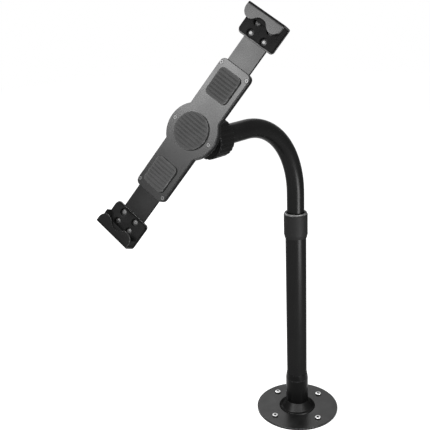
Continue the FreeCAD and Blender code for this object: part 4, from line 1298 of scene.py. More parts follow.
@dataclass
class Post(SubAssembly):
    """Post and the collar that clamps the inner tube in its mouth."""

    radius: float = 14.0
    wall: float = 1.5
    tube_edge: float = 0.3
    foot: float = 3.0
    top: float = 285.0
    collar_bottom: float = 264.0
    collar_top: float = 299.0
    collar_radius: float = 15.9
    skirt_radius: float = 14.3
    skirt_wall: float = 0.5
    taper: float = 5.0
    groove: float = 1.4
    bore: float = 11.8
    cone_radius: float = 13.0
    clear_radius: float = 14.9
    thread_radius: float = 15.1
    thread_top: float = 287.0
    thread_bottom: float = 268.7
    # Height of the mouth band that keeps the painted highlight.
    rubbed_mouth: float = 2.2

    def build(self) -> None:
        """Make the post and the collar."""
        place = self.layout.base()
        self.add("post", [self.tube()], place, "base", Look.TUBE, "pole")
        self.add("collar", [self.collar()], place, "lock_collar", Look.COLLAR, "lock_collar")

    def tube(self) -> Patch:
        """Straight tube."""
        inner = self.radius - self.wall
        return lathe([(inner, self.foot), (self.radius, self.foot), (self.radius, self.top),
                      (inner, self.top)], self.tube_edge, closed=True)

    def collar(self) -> Patch:
        """Collar with a tapered foot, a groove under its rounded mouth, and a thread relief inside."""
        outer, top, low = self.collar_radius, self.collar_top, self.collar_bottom
        deep = outer - self.groove
        outside = [(self.skirt_radius, low), (self.skirt_radius + self.skirt_wall, low),
                   (outer, low + self.taper), (outer, top - 2.6), (outer - 0.65, top - 1.75),
                   (deep, top - 1.6), (deep, top - 1.0), (outer - 0.85, top - 0.8),
                   (outer - 1.3, top), (self.bore + 0.9, top), (self.bore, top - 1.1)]
        inside = [(self.bore, top - 3.6), (self.cone_radius, top - 5.0), (self.clear_radius, top - 8.5),
                  (self.clear_radius, self.thread_top), (self.thread_radius, self.thread_top),
                  (self.thread_radius, self.thread_bottom), (self.skirt_radius, self.thread_bottom)]
        radii = [0.15, 0.2, 1.5, 0.5, 0.2, 0.15, 0.15, 0.15, 0.3, 0.5, 0.2] + [0.0] * len(inside)
        patch = lathe(outside + inside, radii, closed=True)
        # Only the mouth's rim keeps its edge mask, where the collar's finish paints a highlight line.
        patch.wear[patch.points[:, 2] < top - self.rubbed_mouth] = 0.0
        return patch


@dataclass
class Arm(SubAssembly):
    """Bent inner tube with the ball housing on its end, the ring, the seat and the stud."""

    tube_radius: float = 11.5
    tube_wall: float = 1.5
    tube_edge: float = 0.3
    tube_bottom: float = 110.0
    bend_radius: float = 102.0
    bend_rows: int = 57
    bend_margin: float = 2.0
    housing_back: float = 22.0
    housing_front: float = 3.0
    housing_radius: float = 18.0
    housing_step: float = 4.0
    housing_taper: float = 5.0
    spigot_length: float = 30.0
    spigot_gap: float = 0.05
    cavity_radius: float = 16.3
    ring_radius: float = 22.0
    ring_back: float = 14.0
    ring_front: float = 10.0
    ring_mouth: float = 62.0
    ring_chamfer: float = 1.2
    ring_gap: float = 0.3
    flutes: int = 24
    flute_radius: float = 1.6
    flute_depth: float = 0.9
    flute_steps: int = 14
    ball_radius: float = 14.0
    seat_opening: float = 55.0
    seat_wall: float = 2.0
    seat_gap: float = 0.3
    neck_radius: float = 4.0
    neck_length: float = 12.0
    neck_foot: float = 8.5
    flange_radius: float = 18.0
    flange_near: float = 36.8
    flange_far: float = 40.3
    set_screw: Screw = Screw(2.4, 0.0, 2.4, 5.75, Drive.HEX, 1.3, 1.4)
    set_screw_at: float = 36.0
    set_hole: Hole = Hole(2.5, -1.2, 1.5)

    def build(self) -> None:
        """Make the tube, its set screw and the parts of the ball joint."""
        end = self.layout.arm_end()
        under = end @ Place.shift(0.0, -self.tube_radius, -self.set_screw_at) @ LAID
        self.add("bent_tube", [self.tube()], self.layout.base(), "elbow", Look.TUBE, "elbow_tube",
                 [self.set_hole.patch().at(under)])
        self.add("tube_set_screw", [self.set_screw.patch()], under, "elbow", Look.BLACKENED, "housing_screw")
        self.add("housing", [self.housing()], end, "elbow", Look.TUBE, "ball_housing")
        self.add("ring", [self.ring()], end, "ball_ring", Look.TUBE, "ball_ring")
        self.add("seat", [self.seat()], self.layout.seat(), "ball_seat", Look.NYLON, "ball_seat")
        self.add("stud", [self.stud()], self.layout.stud(), "ball", Look.DULL, "ball_stud")

    def tube(self) -> Patch:
        """Tube bent through a quarter turn.

        A closed wall section of radius and distance is turned about its axis, and the axis is then bent: a
        distance past the straight becomes an angle, distance over bend radius, up to a quarter turn.
        """
        straight = self.layout.arm_height - self.bend_radius - self.tube_bottom
        arc = self.bend_radius * math.pi / 2
        total = straight + arc + self.layout.reach - self.housing_back - self.bend_radius
        inner, outer = self.tube_radius - self.tube_wall, self.tube_radius
        stops = np.concatenate([[straight - self.bend_margin],
                                np.linspace(straight, straight + arc, self.bend_rows),
                                [straight + arc + self.bend_margin]])
        out = [(outer, stop) for stop in stops]
        back = [(inner, stop) for stop in stops[::-1]]
        ends = [self.tube_edge] * 2
        radii = ends + [0.0] * len(out) + ends + [0.0] * len(back)
        corners = [(inner, 0.0), (outer, 0.0), *out, (outer, total), (inner, total), *back]
        wall, wear = fillet(np.array(corners), np.array(radii))
        keep = np.linalg.norm(wall - np.roll(wall, 1, axis=0), axis=1) > 1e-6
        patch = turned(closed_up(wall[keep]), closed_up(wear[keep]))
        x, out_of_bend, distance = patch.points.T
        angle = np.clip((distance - straight) / self.bend_radius, 0.0, math.pi / 2)
        low = np.minimum(distance, straight) + self.tube_bottom
        past = np.maximum(distance - straight - arc, 0.0)
        centre_y = -self.bend_radius * (1 - np.cos(angle)) - past
        centre_z = low + self.bend_radius * np.sin(angle)
        y, z = centre_y + out_of_bend * np.cos(angle), centre_z + out_of_bend * np.sin(angle)
        patch.points = np.stack([x, y, z], axis=1)
        return patch

    def cavity(self, first: float, last: float, radius: float, count: int = 25) -> list[tuple[float, float]]:
        """Points on a sphere's meridian between two angles from its pole, in radians."""
        angle = np.linspace(first, last, count)
        return list(zip(radius * np.sin(angle), radius * np.cos(angle)))

    def housing(self) -> Patch:
        """Cup with a tapered back and a spigot that enters the tube."""
        back, front, radius = -self.housing_back, self.housing_front, self.housing_radius
        spigot = self.tube_radius - self.tube_wall - self.spigot_gap
        end = back - self.spigot_length
        rim = math.acos(front / self.cavity_radius)
        hollow = self.cavity(rim, math.pi, self.cavity_radius)
        outside = [(0.0, end), (spigot, end), (spigot, back), (radius - self.housing_step, back),
                   (radius, back + self.housing_taper), (radius, front)]
        return lathe(outside + hollow, [0.0, 0.5, 0.0, 0.6, 1.2, 0.3] + [0.0] * len(hollow))

    def ring(self) -> Patch:
        """Ring whose outside is fluted.

        In a direction at an angle a from a flute's middle, the flute's floor is D cos a less the root of
        its radius squared less (D sin a) squared, with D the distance of the flute's centre. The outside is
        the smaller of that and the ring's own radius.
        """
        step = self.housing_front + self.ring_gap
        mouth = math.radians(self.ring_mouth)
        front, back, outer = self.ring_front, -self.ring_back, self.ring_radius
        bore, inset = self.housing_radius + self.ring_gap, self.ring_chamfer
        hollow = self.cavity(mouth, math.acos(step / self.cavity_radius), self.cavity_radius, 9)
        corners = [(bore, back), (outer - inset, back), (outer, back + inset), (outer, front - inset),
                   (outer - inset, front), (front * math.tan(mouth), front), *hollow, (bore, step)]
        radii = [0.2, 0.3, 0.5, 0.5, 0.3, 0.4] + [0.0] * (len(hollow) + 1)
        line, wear = (closed_up(part) for part in fillet(np.array(corners), np.array(radii)))
        segments = self.flutes * self.flute_steps
        share = np.arange(segments + 1) % self.flute_steps / self.flute_steps
        angle = (np.minimum(share, 1 - share) * TURN / self.flutes)[None, :]
        far = outer + self.flute_radius - self.flute_depth
        under = np.maximum(self.flute_radius ** 2 - (far * np.sin(angle)) ** 2, 0.0)
        inside = far * np.sin(angle) < self.flute_radius
        floor = np.where(inside, far * np.cos(angle) - np.sqrt(under), 2 * outer)
        return turned(line, wear, segments, np.minimum(floor - line[:, :1], 0.0))

    def seat(self) -> Patch:
        """Split shell round the ball."""
        half = math.radians(self.seat_opening)
        outer = self.cavity(math.pi, half, self.ball_radius + self.seat_wall)
        inner = self.cavity(half, math.pi, self.ball_radius + self.seat_gap)
        return lathe(outer + inner, 0.0)

    def stud(self) -> Patch:
        """Ball, neck, foot and flange."""
        root = math.asin(self.neck_radius / self.ball_radius)
        ball = self.cavity(math.pi, root, self.ball_radius, 40)
        neck_end = self.ball_radius * math.cos(root) + self.neck_length
        near, far, wide = self.flange_near, self.flange_far, self.flange_radius
        rest = [(self.neck_radius, neck_end), (self.neck_foot, near), (wide, near), (wide, far), (0.0, far)]
        return lathe(ball + rest, [0.0] * len(ball) + [2.0, 0.6, 0.5, 0.5, 0.0])


@dataclass
class Holder(SubAssembly):
    """Body that the claws slide in, with its cover, its pads, its swivel and its lock."""

    half_length: float = 80.0
    half_width: float = 20.3
    channel_half_width: float = 15.3
    hub_radius: float = 30.0
    corner: float = 6.0
    body_edge: float = 0.9
    lid_edge: float = 0.6
    floor_back: float = -18.4
    floor_front: float = -15.9
    cover_back: float = -12.1
    cover_front: float = -10.3
    pad_thickness: float = 2.5
    pad_half: tuple[float, float] = (16.0, 14.0)
    pad_corner: float = 5.0
    pad_at: float = 56.0
    hub_pad_radius: float = 20.0
    pad_edge: float = 0.7
    pad_crown: float = 0.25
    swivel_back: float = -26.0
    swivel_floor: float = 2.5
    swivel_radius: float = 24.0
    swivel_bore: float = 18.3
    swivel_hole: float = 11.0
    swivel_circle: float = 21.15
    swivel_screw_hole: Hole = Hole(2.35, -1.7, 1.0)
    swivel_screw_depth: float = 1.6
    lock_x: float = 14 * math.pi
    lock_y: float = 3.0
    lock_radius: float = 12.0
    lock_height: float = 14.0
    window_half: float = 5.01
    window_y: tuple[float, float] = (4.6, 9.25)
    ear_radius: float = 4.2
    ear_at: float = 15.5
    ear_root: float = 10.0
    ear_thickness: float = 3.0
    plunger_radius: float = 7.5
    plunger_tail: float = 4.0
    plunger_face: float = 3.8
    key_well: float = 10.0
    key: Screw = Screw(4.7, 0.8, 4.7, 9.7, Drive.SLOT, 3.0, 5.0, edge=0.35)
    comb_y: tuple[float, float, float] = (6.8, 7.1, 8.625)
    comb_half: tuple[float, float] = (1.014, 0.458)
    comb_spine: float = 1.9
    comb_back: float = 5.0
    comb_front: float = -16.1
    slide_gap: float = 0.3
    lid_screw_end: float = 6.0
    lid_screw_side: float = 2.5
    lid_screw_hub: float = 5.0
    lid_screw_twist: float = 41.0
    lid_hole: Hole = Hole(1.35, -3.0, 0.5, 2.5, 0.0)
    cover_screw: Screw = Screw(2.4, 0.0, 1.25, 6.5, Drive.CROSS, 1.2, 0.9, sink=1.15)
    small_screw: Screw = Screw(2.2, 1.6, 1.25, 8.0, Drive.HEX, 1.3, 0.8)
    lock_screw: Screw = Screw(2.2, 1.6, 1.25, 5.3, Drive.HEX, 1.3, 0.8)

    def build(self) -> None:
        """Make the body, its cover and all that is fixed to them."""
        place = self.layout.holder()
        self.add("holder_body", slab(self.outline(), self.floor_back, self.cover_back, self.body_edge), place,
                 "holder", Look.TUBE, "holder_back", self.body_tools())
        seats = [Place.shift(x, y, self.cover_front) for x, y in self.lid_screw_places()]
        self.add("holder_lid", slab(self.outline(), self.cover_back, self.cover_front, self.lid_edge), place,
                 "holder", Look.POWDER, "holder_cover", [self.lid_hole.patch().at(seat) for seat in seats])
        screws = [self.cover_screw.patch().at(seat @ Place.spin(self.lid_screw_twist * n))
                  for n, seat in enumerate(seats)]
        self.add("lid_screws", screws, place, "holder", Look.BLACKENED, "cover_screws")
        self.add("grip_pads", self.pads(), place, "holder", Look.RUBBER, "rest_pads", fill=1.0)
        self.build_swivel(place)
        self.build_lock(place @ Place.shift(self.lock_x, self.lock_y))

    def outline(self) -> np.ndarray:
        """Outline of the body: a bar with rounded ends and a round hub on its middle."""
        meet = math.acos(self.half_width / self.hub_radius)
        arc = (math.pi / 2 - np.linspace(-meet, meet, 33))[::-1]
        over = np.stack([self.hub_radius * np.cos(arc), self.hub_radius * np.sin(arc)], axis=1)
        ends = np.array([(self.half_length, -self.half_width), (self.half_length, self.half_width)])
        corners = np.concatenate([ends, over, -ends, -over])
        radii = np.zeros(len(corners))
        radii[[0, 1, 2 + len(over), 3 + len(over)]] = self.corner
        return distinct(fillet(corners, radii)[0])

    def body_tools(self) -> list[Patch]:
        """Channel for the bars, square to the cover, and the window in the floor."""
        reach, half, low = 2 * self.half_length, self.channel_half_width, self.floor_back - PAST
        top = self.cover_back
        channel = box_patches((-reach, reach), (-half, half), (self.floor_front, top + 3 * PAST))
        flat = box_patches((-reach, reach), (-reach, reach), (top - 0.001, top + PAST))
        window = box_patches((self.lock_x - self.window_half, self.lock_x + self.window_half), self.window_y,
                             (low, self.floor_front + PAST))
        return channel + flat + window

    def lid_screw_places(self) -> list[tuple[float, float]]:
        """Centres of the cover's screws: two at each end and two on the hub."""
        x, y = self.half_length - self.lid_screw_end, self.channel_half_width + self.lid_screw_side
        hub = self.hub_radius - self.lid_screw_hub
        return [(-x, -y), (-x, y), (x, -y), (x, y), (0.0, hub), (0.0, -hub)]

    def pads(self) -> list[Patch]:
        """Three grooved rubber pads."""
        pad = np.array([(1.0, 1.0), (-1.0, 1.0), (-1.0, -1.0), (1.0, -1.0)]) * self.pad_half
        outlines = [fillet(pad + [x, 0.0], self.pad_corner, steps=8)[0] for x in (-self.pad_at, self.pad_at)]
        outlines.append(circle(self.hub_pad_radius, segments=RING_SEGMENTS))
        low, top = self.cover_front, self.cover_front + self.pad_thickness
        return [patch for outline in outlines
                for patch in round_pad(outline, low, top, self.pad_edge, self.pad_crown, Grooves())]

    def build_swivel(self, place: Place) -> None:
        """Make the swivel's cap with its screws.

        Args:
            place: The holder's frame.
        """
        back, bore, floor = self.swivel_back, self.swivel_bore, self.swivel_back + self.swivel_floor
        seats = [Place.spin(45.0 + 90 * n) @ Place.shift(self.swivel_circle, 0.0, back) @ FLIP
                 for n in range(4)]
        outer, front = self.swivel_radius, self.floor_back
        ring = lathe([(self.swivel_hole, back), (outer, back), (outer, front), (bore, front), (bore, floor),
                      (self.swivel_hole, floor)], [0.5, 1.2, 0.2, 0.0, 0.0, 0.3], closed=True)
        self.add("swivel_ring", [ring], place, "holder", Look.TUBE, "swivel_cap",
                 [self.swivel_screw_hole.patch().at(seat) for seat in seats])
        sunk = Place.shift(z=-self.swivel_screw_depth)
        self.add("swivel_ring_screws", [self.small_screw.patch().at(seat @ sunk) for seat in seats], place,
                 "holder", Look.BLACKENED, "swivel_screws")

    def build_lock(self, here: Place) -> None:
        """Make the lock's boss with its screws, its bolt and its key plug.

        Args:
            here: The holder's frame, moved to the lock.
        """
        floor, radius = self.floor_back, self.plunger_radius
        back, bore, low = floor - self.lock_height, radius + self.slide_gap, floor - self.ear_thickness
        barrel = lathe([(bore, back), (self.lock_radius, back), (self.lock_radius, floor), (bore, floor)],
                       [0.5, 1.3, 0.1, 0.0], closed=True)
        reach, half, root = self.ear_at + self.ear_radius, self.ear_radius, self.ear_root
        round_end = NEARLY_ALL * half
        ear = fillet(np.array([(root, -half), (reach, -half), (reach, half), (root, half)]),
                     np.array([0.3, round_end, round_end, 0.3]), steps=12)[0]
        ears = slab(ear, low, floor, 0.5)
        ears += [patch.at(Place.spin(180.0)) for patch in ears]
        self.add("lock_boss", [barrel] + ears, here, "holder", Look.TUBE, "lock_body")
        screws = [self.lock_screw.patch().at(Place.shift(x, 0.0, low) @ FLIP)
                  for x in (-self.ear_at, self.ear_at)]
        self.add("lock_boss_screws", screws, here, "holder", Look.BLACKENED, "lock_screws")
        tail, face = back - self.plunger_tail, floor - self.plunger_face
        well, well_floor = self.key.head_radius + self.slide_gap, tail + self.key_well
        bolt = lathe([(well, tail), (radius, tail), (radius, face), (0.0, face), (0.0, well_floor),
                      (well, well_floor)], [0.3, 0.6, 0.3, 0.0, 0.0, 0.0], closed=True)
        self.add("lock_bolt", [bolt] + self.comb(), here, "lock_plunger", Look.DULL, "lock_plunger")
        at_tail = here @ Place.shift(z=tail) @ FLIP
        self.add("lock_key_plug", [self.key.patch()], at_tail, "key_plug", Look.ZINC, "key_plug")

    def comb(self) -> list[Patch]:
        """Comb of the bolt: a spine with three teeth, in the boss's frame."""
        root, low, high = (y - self.lock_y for y in self.comb_y)
        wide, narrow = self.comb_half
        across = np.arange(-1, 2) * math.pi
        steps = ((wide, root), (wide, low), (narrow, high), (-narrow, high), (-wide, low), (-wide, root))
        teeth = np.stack([np.stack([across + share, np.full(3, y)], axis=1) for share, y in steps], axis=1)
        teeth = teeth[::-1].reshape(-1, 2)
        spine = np.array([(teeth[-1, 0], root - self.comb_spine), (teeth[0, 0], root - self.comb_spine)])
        return slab(np.concatenate([spine, teeth]), self.floor_back - self.comb_back, self.comb_front, 0.1)


@dataclass
class Claw(SubAssembly):
    """One claw with its bar, its rivets and its foam."""

    side: Side
    reach: float = 138.0
    width: float = 47.5
    thickness: float = 2.0
    bend: float = 1.4
    flange_length: float = 30.0
    flange_corner: float = 4.0
    lip_length: float = 14.5
    valley_length: float = 8.0
    lobe_radius: float = 9.0
    window_width: float = 26.0
    lip_middle: float = 3.0
    flange_middle: float = -11.5
    bar_back: float = -15.5
    bar_front: float = -12.5
    bar_width: float = 30.0
    bar_corner: float = 4.0
    leg_end: float = 12 * math.pi + 2.0
    fork_at: float = 24 * math.pi + 3.2
    bar_gap: float = 7.0
    teeth: tuple[int, int] = (-12, 22)
    tooth_y: tuple[float, float] = (7.1, 9.25)
    pitch_line: float = 8.0
    pressure_deg: float = 20.0
    backlash: float = 0.15
    rivet_x: tuple[float, float] = (114.0, 126.0)
    rivet_y: float = 9.0
    rivet_head: tuple[float, float] = (3.6, 1.2)
    rivet_radius: float = 2.0
    rivet_top: float = -10.5
    grip: tuple[float, float] = (169.5, 240.0)
    border: float = 0.45
    columns: int = 61
    bend_rows: int = 7
    web_rows: int = 7
    flange_rows: int = 8
    flange_first_row: float = 0.12
    lip_rows: int = 9
    lip_last_row: float = 0.9
    lip_scale: float = 10.0
    steel_edge: float = 0.3
    sharp_deg: float = 50.0
    bar_edge: float = 0.2
    foam_inset: float = 0.75
    sheet_inset: float = 1.5
    sheet_corner: float = 3.25
    sheet_z: tuple[float, float] = (-10.5, -7.5)
    sheet_edge: float = 0.7
    sheet_hole: float = 3.9
    sheet_hole_edge: float = 0.8
    wedge_corner: float = 0.4
    foam_edge: float = 0.5
    wedge_z: tuple[float, float] = (-7.9, 0.3)
    strip_half: float = 21.0
    strip_corner: float = 2.0
    strip_length: float = 9.5
    strip_z: tuple[float, float] = (0.0, 2.0)

    def build(self) -> None:
        """Make the claw, the bar, the rivets and the foam."""
        place = self.layout.claw(self.side)
        name = self.side.name.lower()
        body = f"{name}_arm"
        shell = make_piece(f"{name}_hook", [self.shell()], place)
        self.trim_window(shell, place)
        self.add_thickness(shell)
        self.dress(shell, body, Look.CLAW, f"{name}_claw")
        bar = slab(self.bar_outline(), self.bar_back, self.bar_front, self.bar_edge)
        self.add(f"{name}_rack_bar", bar, place, body, Look.TUBE, f"{name}_bar")
        pin = rivet(*self.rivet_head, self.rivet_radius, self.bar_back, self.rivet_top)
        pins = [pin.at(Place.shift(x, y)) for x, y in self.rivet_places()]
        self.add(f"{name}_hook_rivets", pins, place, body, Look.BLACKENED, f"{name}_rivets")
        self.add(f"{name}_foam", self.foam(), place, body, Look.FOAM, f"{name}_claw_pads", fill=1.0)

    def rivet_places(self) -> list[tuple[float, float]]:
        """Centres of the rivets."""
        return [(x, y) for x in self.rivet_x for y in (-self.rivet_y, self.rivet_y)]

    def lip_depth(self, across: np.ndarray) -> np.ndarray:
        """Depth of the lip: two round lobes with a round hollow between them.

        Args:
            across: Distances across the lip from its middle.

        Returns:
            The depths.
        """
        lobe_y = self.width / 2 - self.lobe_radius
        lobe_x = self.lip_length - self.lobe_radius
        rise = self.valley_length - lobe_x
        hollow = (lobe_y ** 2 + rise ** 2 - self.lobe_radius ** 2) / (2 * (self.lobe_radius - rise))
        join = lobe_y * (1 - self.lobe_radius / math.hypot(lobe_y, rise + hollow))
        away = np.abs(across)
        lobe = lobe_x + np.sqrt(np.maximum(self.lobe_radius ** 2 - (away - lobe_y) ** 2, 0.0))
        valley = self.valley_length + hollow - np.sqrt(np.maximum(hollow ** 2 - away ** 2, 0.0))
        return np.where(away > join, lobe, valley)

    def shell(self) -> Patch:
        """Middle surface of the claw.

        Its columns run across and crowd towards the sides. Its rows follow the bent strip: along the flange
        from its rounded end, round the first bend, up the web, round the second bend, and along the lip by
        a share of the lip's depth at that column.
        """
        half = self.width / 2
        across = half * np.sin(np.linspace(-math.pi / 2, math.pi / 2, self.columns))
        marks = np.array([half - self.border, self.window_width / 2])
        marks = np.concatenate([-marks, marks])
        across = np.unique(np.concatenate([across, marks]).round(6))
        web = self.reach - self.thickness / 2
        bent = web - self.bend
        in_corner = np.maximum(np.abs(across) - (half - self.flange_corner), 0.0)
        start = (self.reach - self.flange_length + self.flange_corner
                 - np.sqrt(np.maximum(self.flange_corner ** 2 - in_corner ** 2, 0.0)))
        later = np.linspace(self.flange_first_row, 1.0, self.flange_rows)
        share = np.concatenate([[0.0, self.border / self.flange_length], later])[:, None]
        flange_x = start + share * (bent - start)
        turn = np.linspace(0.0, math.pi / 2, self.bend_rows)[1:, None]
        first_x = bent + self.bend * np.sin(turn)
        first_z = self.flange_middle + self.bend * (1 - np.cos(turn))
        web_ends = self.flange_middle + self.bend, self.lip_middle - self.bend
        web_z = np.linspace(*web_ends, self.web_rows)[1:, None]
        second_x = bent + self.bend * np.cos(turn)
        second_z = self.lip_middle - self.bend + self.bend * np.sin(turn)
        depth = self.lip_depth(across)
        earlier = np.linspace(0.0, self.lip_last_row, self.lip_rows)[1:]
        lip_share = np.concatenate([earlier, [1 - self.border / self.lip_scale, 1.0]])[:, None]
        lip_x = bent - lip_share * (depth - (self.reach - bent))
        rows = [(flange_x, np.full_like(flange_x, self.flange_middle)), (first_x, first_z),
                (np.full_like(web_z, web), web_z), (second_x, second_z),
                (lip_x, np.full_like(lip_x, self.lip_middle))]
        x = np.concatenate([np.broadcast_to(part, (len(part), len(across))) for part, _ in rows])
        z = np.concatenate([np.broadcast_to(part, (len(part), len(across))) for _, part in rows])
        # The sheet's edges get the edge mask, which the claw's finish paints lighter, partly as wear and
        # partly as a painted highlight.
        wear = np.zeros(x.shape)
        wear[[0, -1]] = 1.0
        wear[:, [0, -1]] = 1.0
        return grid(np.stack([x, np.broadcast_to(across, x.shape), z], axis=-1), wear)

    def trim_window(self, shell: bpy.types.Object, place: Place) -> None:
        """Take the window's faces out of the web of a claw's middle surface.

        Args:
            shell: The middle surface.
            place: The claw's frame.
        """
        back = np.linalg.inv(place.matrix)
        shape = bmesh.new()
        shape.from_mesh(shell.data)
        centres = np.array([face.calc_center_median() for face in shape.faces]) / MM
        local = centres @ back[:3, :3].T + back[:3, 3]
        in_web = np.abs(local[:, 0] - (self.reach - self.thickness / 2)) < IN_PLANE
        gone = in_web & (np.abs(local[:, 1]) < self.window_width / 2)
        doomed = [face for face, out in zip(shape.faces, gone) if out]
        bmesh.ops.delete(shape, geom=doomed, context="FACES")
        shape.to_mesh(shell.data)
        shape.free()

    def add_thickness(self, shell: bpy.types.Object) -> None:
        """Give the claw's middle surface its steel thickness and rounded edges.

        Args:
            shell: The middle surface.
        """
        solid = shell.modifiers.new("thickness", "SOLIDIFY")
        solid.thickness = self.thickness * MM
        solid.offset = 0.0
        solid.use_even_offset = True
        add_bevel(shell, self.steel_edge, self.sharp_deg)

    def bar_outline(self) -> np.ndarray:
        """Outline of the bar: a leg with rack teeth, then the full width up to the claw."""
        half, corner = self.bar_width / 2, self.bar_corner
        centres = np.arange(self.teeth[0], self.teeth[1] + 1)[:, None] * math.pi
        tip, root = self.tooth_y
        slope = math.tan(math.radians(self.pressure_deg))
        tip_half, root_half = (math.pi / 4 - (height - self.pitch_line) * slope + self.backlash
                               for height in (tip, root))
        x = centres + np.array([-tip_half, -root_half, root_half, tip_half])
        y = np.broadcast_to([tip, root, root, tip], x.shape)
        rack = np.stack([x, y], axis=-1).reshape(-1, 2)
        end = self.reach - self.bar_gap
        corners = np.concatenate([[(-self.leg_end, half), (-self.leg_end, tip)], rack,
                                  [(self.fork_at, tip), (self.fork_at, -half), (end, -half), (end, half)]])
        radii = np.concatenate([[1.0, 0.5], np.full(len(rack), 0.15), [0.5, 1.0, corner, corner]])
        return distinct(fillet(corners, radii, steps=3)[0])

    def notch(self, across: float) -> float:
        """Where the edge of the gripped corner lies along the claws' line.

        Args:
            across: Distance across that line.

        Returns:
            The distance along it.
        """
        angle = math.radians(self.layout.claw_line)
        cos, sin = math.cos(angle), math.sin(angle)
        half_w, half_h = self.grip[0] / 2, self.grip[1] / 2
        corner_x, corner_y = half_w * cos + half_h * sin, half_h * cos - half_w * sin
        ratio = cos / sin if across > corner_y else -sin / cos
        return corner_x - (across - corner_y) * ratio

    def foam(self) -> list[Patch]:
        """Foam: a sheet on the flange, two wedges shaped by the gripped corner, a strip under the lip."""
        wall = self.reach - self.thickness
        half = self.width / 2 - self.foam_inset
        holes = tuple(circle(self.sheet_hole, x, y) for x, y in self.rivet_places())
        start = self.reach - self.flange_length + self.sheet_inset
        sheet = self.pad_outline(start, half, self.sheet_corner, self.wedge_corner)
        patches = slab(sheet, *self.sheet_z, self.sheet_edge, holes, self.sheet_hole_edge)
        for side in (-1, 1):
            near, far = side * self.window_width / 2, side * half
            tip = min(self.notch(near), wall - self.foam_inset)
            wedge = np.array([(wall, near), (wall, far), (self.notch(far), far), (tip, near)])
            outline = fillet(wedge[::side], self.wedge_corner, steps=3)[0]
            patches += slab(outline, *self.wedge_z, self.foam_edge)
        strip = self.pad_outline(wall - self.strip_length, self.strip_half, self.strip_corner, 0.3)
        return patches + slab(strip, *self.strip_z, self.foam_edge)

    def pad_outline(self, start: float, half: float, corner: float, wall_corner: float) -> np.ndarray:
        """Outline of a foam pad from a distance along the claws' line up to the web.

        Args:
            start: That distance.
            half: Half its width.
            corner: Rounding of its corners there.
            wall_corner: Rounding of its corners at the web.

        Returns:
            The outline.
        """
        wall = self.reach - self.thickness
        return fillet(np.array([(start, -half), (wall, -half), (wall, half), (start, half)]),
                      np.array([corner, wall_corner, wall_corner, corner]), steps=6)[0]


# Nodes that stay as they are


def dress_nodes(frame: dict, materials: Materials) -> None:
    """Give the nodes that stay their finishes.

    Args:
        frame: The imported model.
        materials: The materials.
    """
    finishes = {
        "pole_bush": Look.NYLON, "collar_thread": Look.STEEL, "clamp_collet": Look.NYLON,
        "lift_slider": Look.NYLON, "pinion_pin": Look.STEEL, "swivel_washer": Look.NYLON,
        "pinion": Look.BRASS,
    }
    for name, look in finishes.items():
        node = frame["nodes"][name]
        node.data.materials.clear()
        node.data.materials.append(materials[look])
        LOG.info("%s: dressed", name)


# Studio and camera


@dataclass
class Softbox:
    """Rectangular lamp that faces a point and that the camera does not see."""

    name: str
    azimuth: float
    elevation: float
    distance: float
    width: float
    height: float
    radiance: float
    aim: tuple[float, float, float]

    def build(self) -> None:
        """Make the lamp. Its power is four times its radiance times its area."""
        lamp = bpy.data.lights.new(self.name, "AREA")
        lamp.shape = "RECTANGLE"
        lamp.size, lamp.size_y = self.width, self.height
        lamp.energy = 4 * self.radiance * self.width * self.height
        out = Vector(direction(self.azimuth, self.elevation))
        piece = bpy.data.objects.new(self.name, lamp)
        piece.location = Vector(self.aim) + out * self.distance
        piece.rotation_euler = out.to_track_quat("Z", "Y").to_euler()
        piece.visible_camera = False
        bpy.context.scene.collection.objects.link(piece)


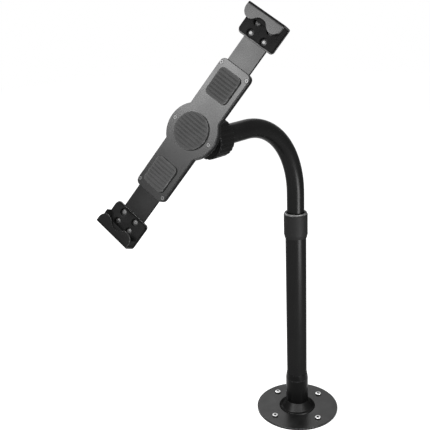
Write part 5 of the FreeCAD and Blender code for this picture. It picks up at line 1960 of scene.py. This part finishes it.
@dataclass
class Studio:
    """Pale floor, white surround and the lamps."""

    floor_size: float = 8.0
    floor_glow: float = 0.92
    ambient: float = 0.28
    lamps: tuple[Softbox, ...] = (
        Softbox("strip", -15.0, 0.0, 0.6, 0.28, 0.24, 18.0, (0.0, 0.0, 0.12)),
        Softbox("front_top", -106.0, 35.0, 1.3, 0.42, 0.42, 43.0, (0.03, -0.21, 0.5)),
        Softbox("front_band", -56.0, 34.0, 1.2, 1.8, 0.3, 7.5, (0.0, 0.0, 0.01)),
        Softbox("back_fill", 130.0, 35.0, 1.8, 0.8, 0.8, 2.1, (0.0, 0.0, 0.3)),
        Softbox("back_strip", 172.0, 12.0, 1.2, 0.35, 0.9, 9.0, (0.0, -0.1, 0.3)),
    )

    def build(self) -> None:
        """Make the floor, the world and the lamps."""
        half = self.floor_size / 2
        mesh = bpy.data.meshes.new("floor")
        mesh.from_pydata([(-half, -half, 0.0), (half, -half, 0.0), (half, half, 0.0), (-half, half, 0.0)], [],
                         [(0, 1, 2, 3)])
        mesh.materials.append(self.floor_material())
        floor = bpy.data.objects.new("floor", mesh)
        bpy.context.scene.collection.objects.link(floor)
        self.light_world()
        for lamp in self.lamps:
            lamp.build()

    @staticmethod
    def seen(tree: Tree) -> bpy.types.NodeSocket:
        """One where a ray shows the surround itself, straight or in gloss or glass, and zero elsewhere.

        Args:
            tree: The tree of the floor's or the world's material.

        Returns:
            The value.
        """
        path = tree.add("ShaderNodeLightPath")
        glossy = tree.math("MAXIMUM", path.outputs["Is Glossy Ray"], path.outputs["Is Transmission Ray"])
        return tree.math("MAXIMUM", path.outputs["Is Camera Ray"], glossy)

    def floor_material(self) -> bpy.types.Material:
        """Pale floor that looks white where it is seen and still takes the shadow."""
        material = bpy.data.materials.new("pale_floor")
        material.use_nodes = True
        tree = Tree(material.node_tree)
        plain = tree.add("ShaderNodeBsdfDiffuse", {"Color": grey(0.8)})
        dim = tree.add("ShaderNodeBsdfDiffuse", {"Color": grey(0.3)})
        glow = tree.add("ShaderNodeEmission", {"Color": grey(1.0), "Strength": self.floor_glow})
        both = tree.add("ShaderNodeAddShader", {0: dim.outputs[0], 1: glow.outputs[0]})
        mixed = tree.add("ShaderNodeMixShader", {0: self.seen(tree), 1: plain.outputs[0], 2: both.outputs[0]})
        tree.add("ShaderNodeOutputMaterial", {"Surface": mixed.outputs[0]})
        return material

    def light_world(self) -> None:
        """White surround at full strength where it is seen and at the ambient level as light."""
        world = bpy.data.worlds.new("surround")
        world.use_nodes = True
        bpy.context.scene.world = world
        tree = Tree(world.node_tree)
        strength = tree.spread(self.seen(tree), 0.0, 1.0, self.ambient, 1.0)
        shown = tree.add("ShaderNodeBackground", {"Color": grey(1.0), "Strength": strength})
        tree.add("ShaderNodeOutputWorld", {"Surface": shown.outputs[0]})


@dataclass(frozen=True)
class PhotoCamera:
    """Camera at the photograph's viewing angle, for a frame of 430 x 430."""

    focal_px: float = 669.418
    frame_px: float = 430.0
    yaw: float = 131.23
    pitch: float = 17.789
    roll: float = 2.674
    location: tuple[float, float, float] = (0.477349, -0.707396, 0.571546)

    def build(self) -> None:
        """Make the camera. Its axes are the image's right, the image's up and back along the view."""
        yaw, roll = math.radians(self.yaw), math.radians(self.roll)
        view = Vector(direction(self.yaw, -self.pitch))
        level = Vector((math.sin(yaw), -math.cos(yaw), 0.0))
        down = view.cross(level)
        right = math.cos(roll) * level + math.sin(roll) * down
        low = -math.sin(roll) * level + math.cos(roll) * down
        lens = bpy.data.cameras.new("photo_camera")
        lens.sensor_width = 36.0
        lens.lens = self.focal_px / self.frame_px * lens.sensor_width
        lens.clip_start = 0.01
        camera = bpy.data.objects.new("photo_camera", lens)
        turn = Matrix((right, -low, -view)).transposed().to_4x4()
        camera.matrix_world = Matrix.Translation(Vector(self.location)) @ turn
        bpy.context.scene.collection.objects.link(camera)
        bpy.context.scene.camera = camera


def main() -> None:
    """Build the studio, the camera and every sub-assembly, and dress the nodes that stay."""
    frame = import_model()
    bpy.context.scene.view_settings.view_transform = "Standard"
    PhotoCamera().build()
    Studio().build()
    layout = Layout()
    effects = make_effects()
    materials = {look: look.value.material(effects) for look in Look}
    for part in (Base(layout, materials), Post(layout, materials), Arm(layout, materials),
                 Holder(layout, materials), Claw(layout, materials, Side.UPPER),
                 Claw(layout, materials, Side.LOWER)):
        part.build()
    dress_nodes(frame, materials)


if __name__ == "__main__":
    logging.basicConfig(level=logging.INFO, format="%(message)s")
    main()
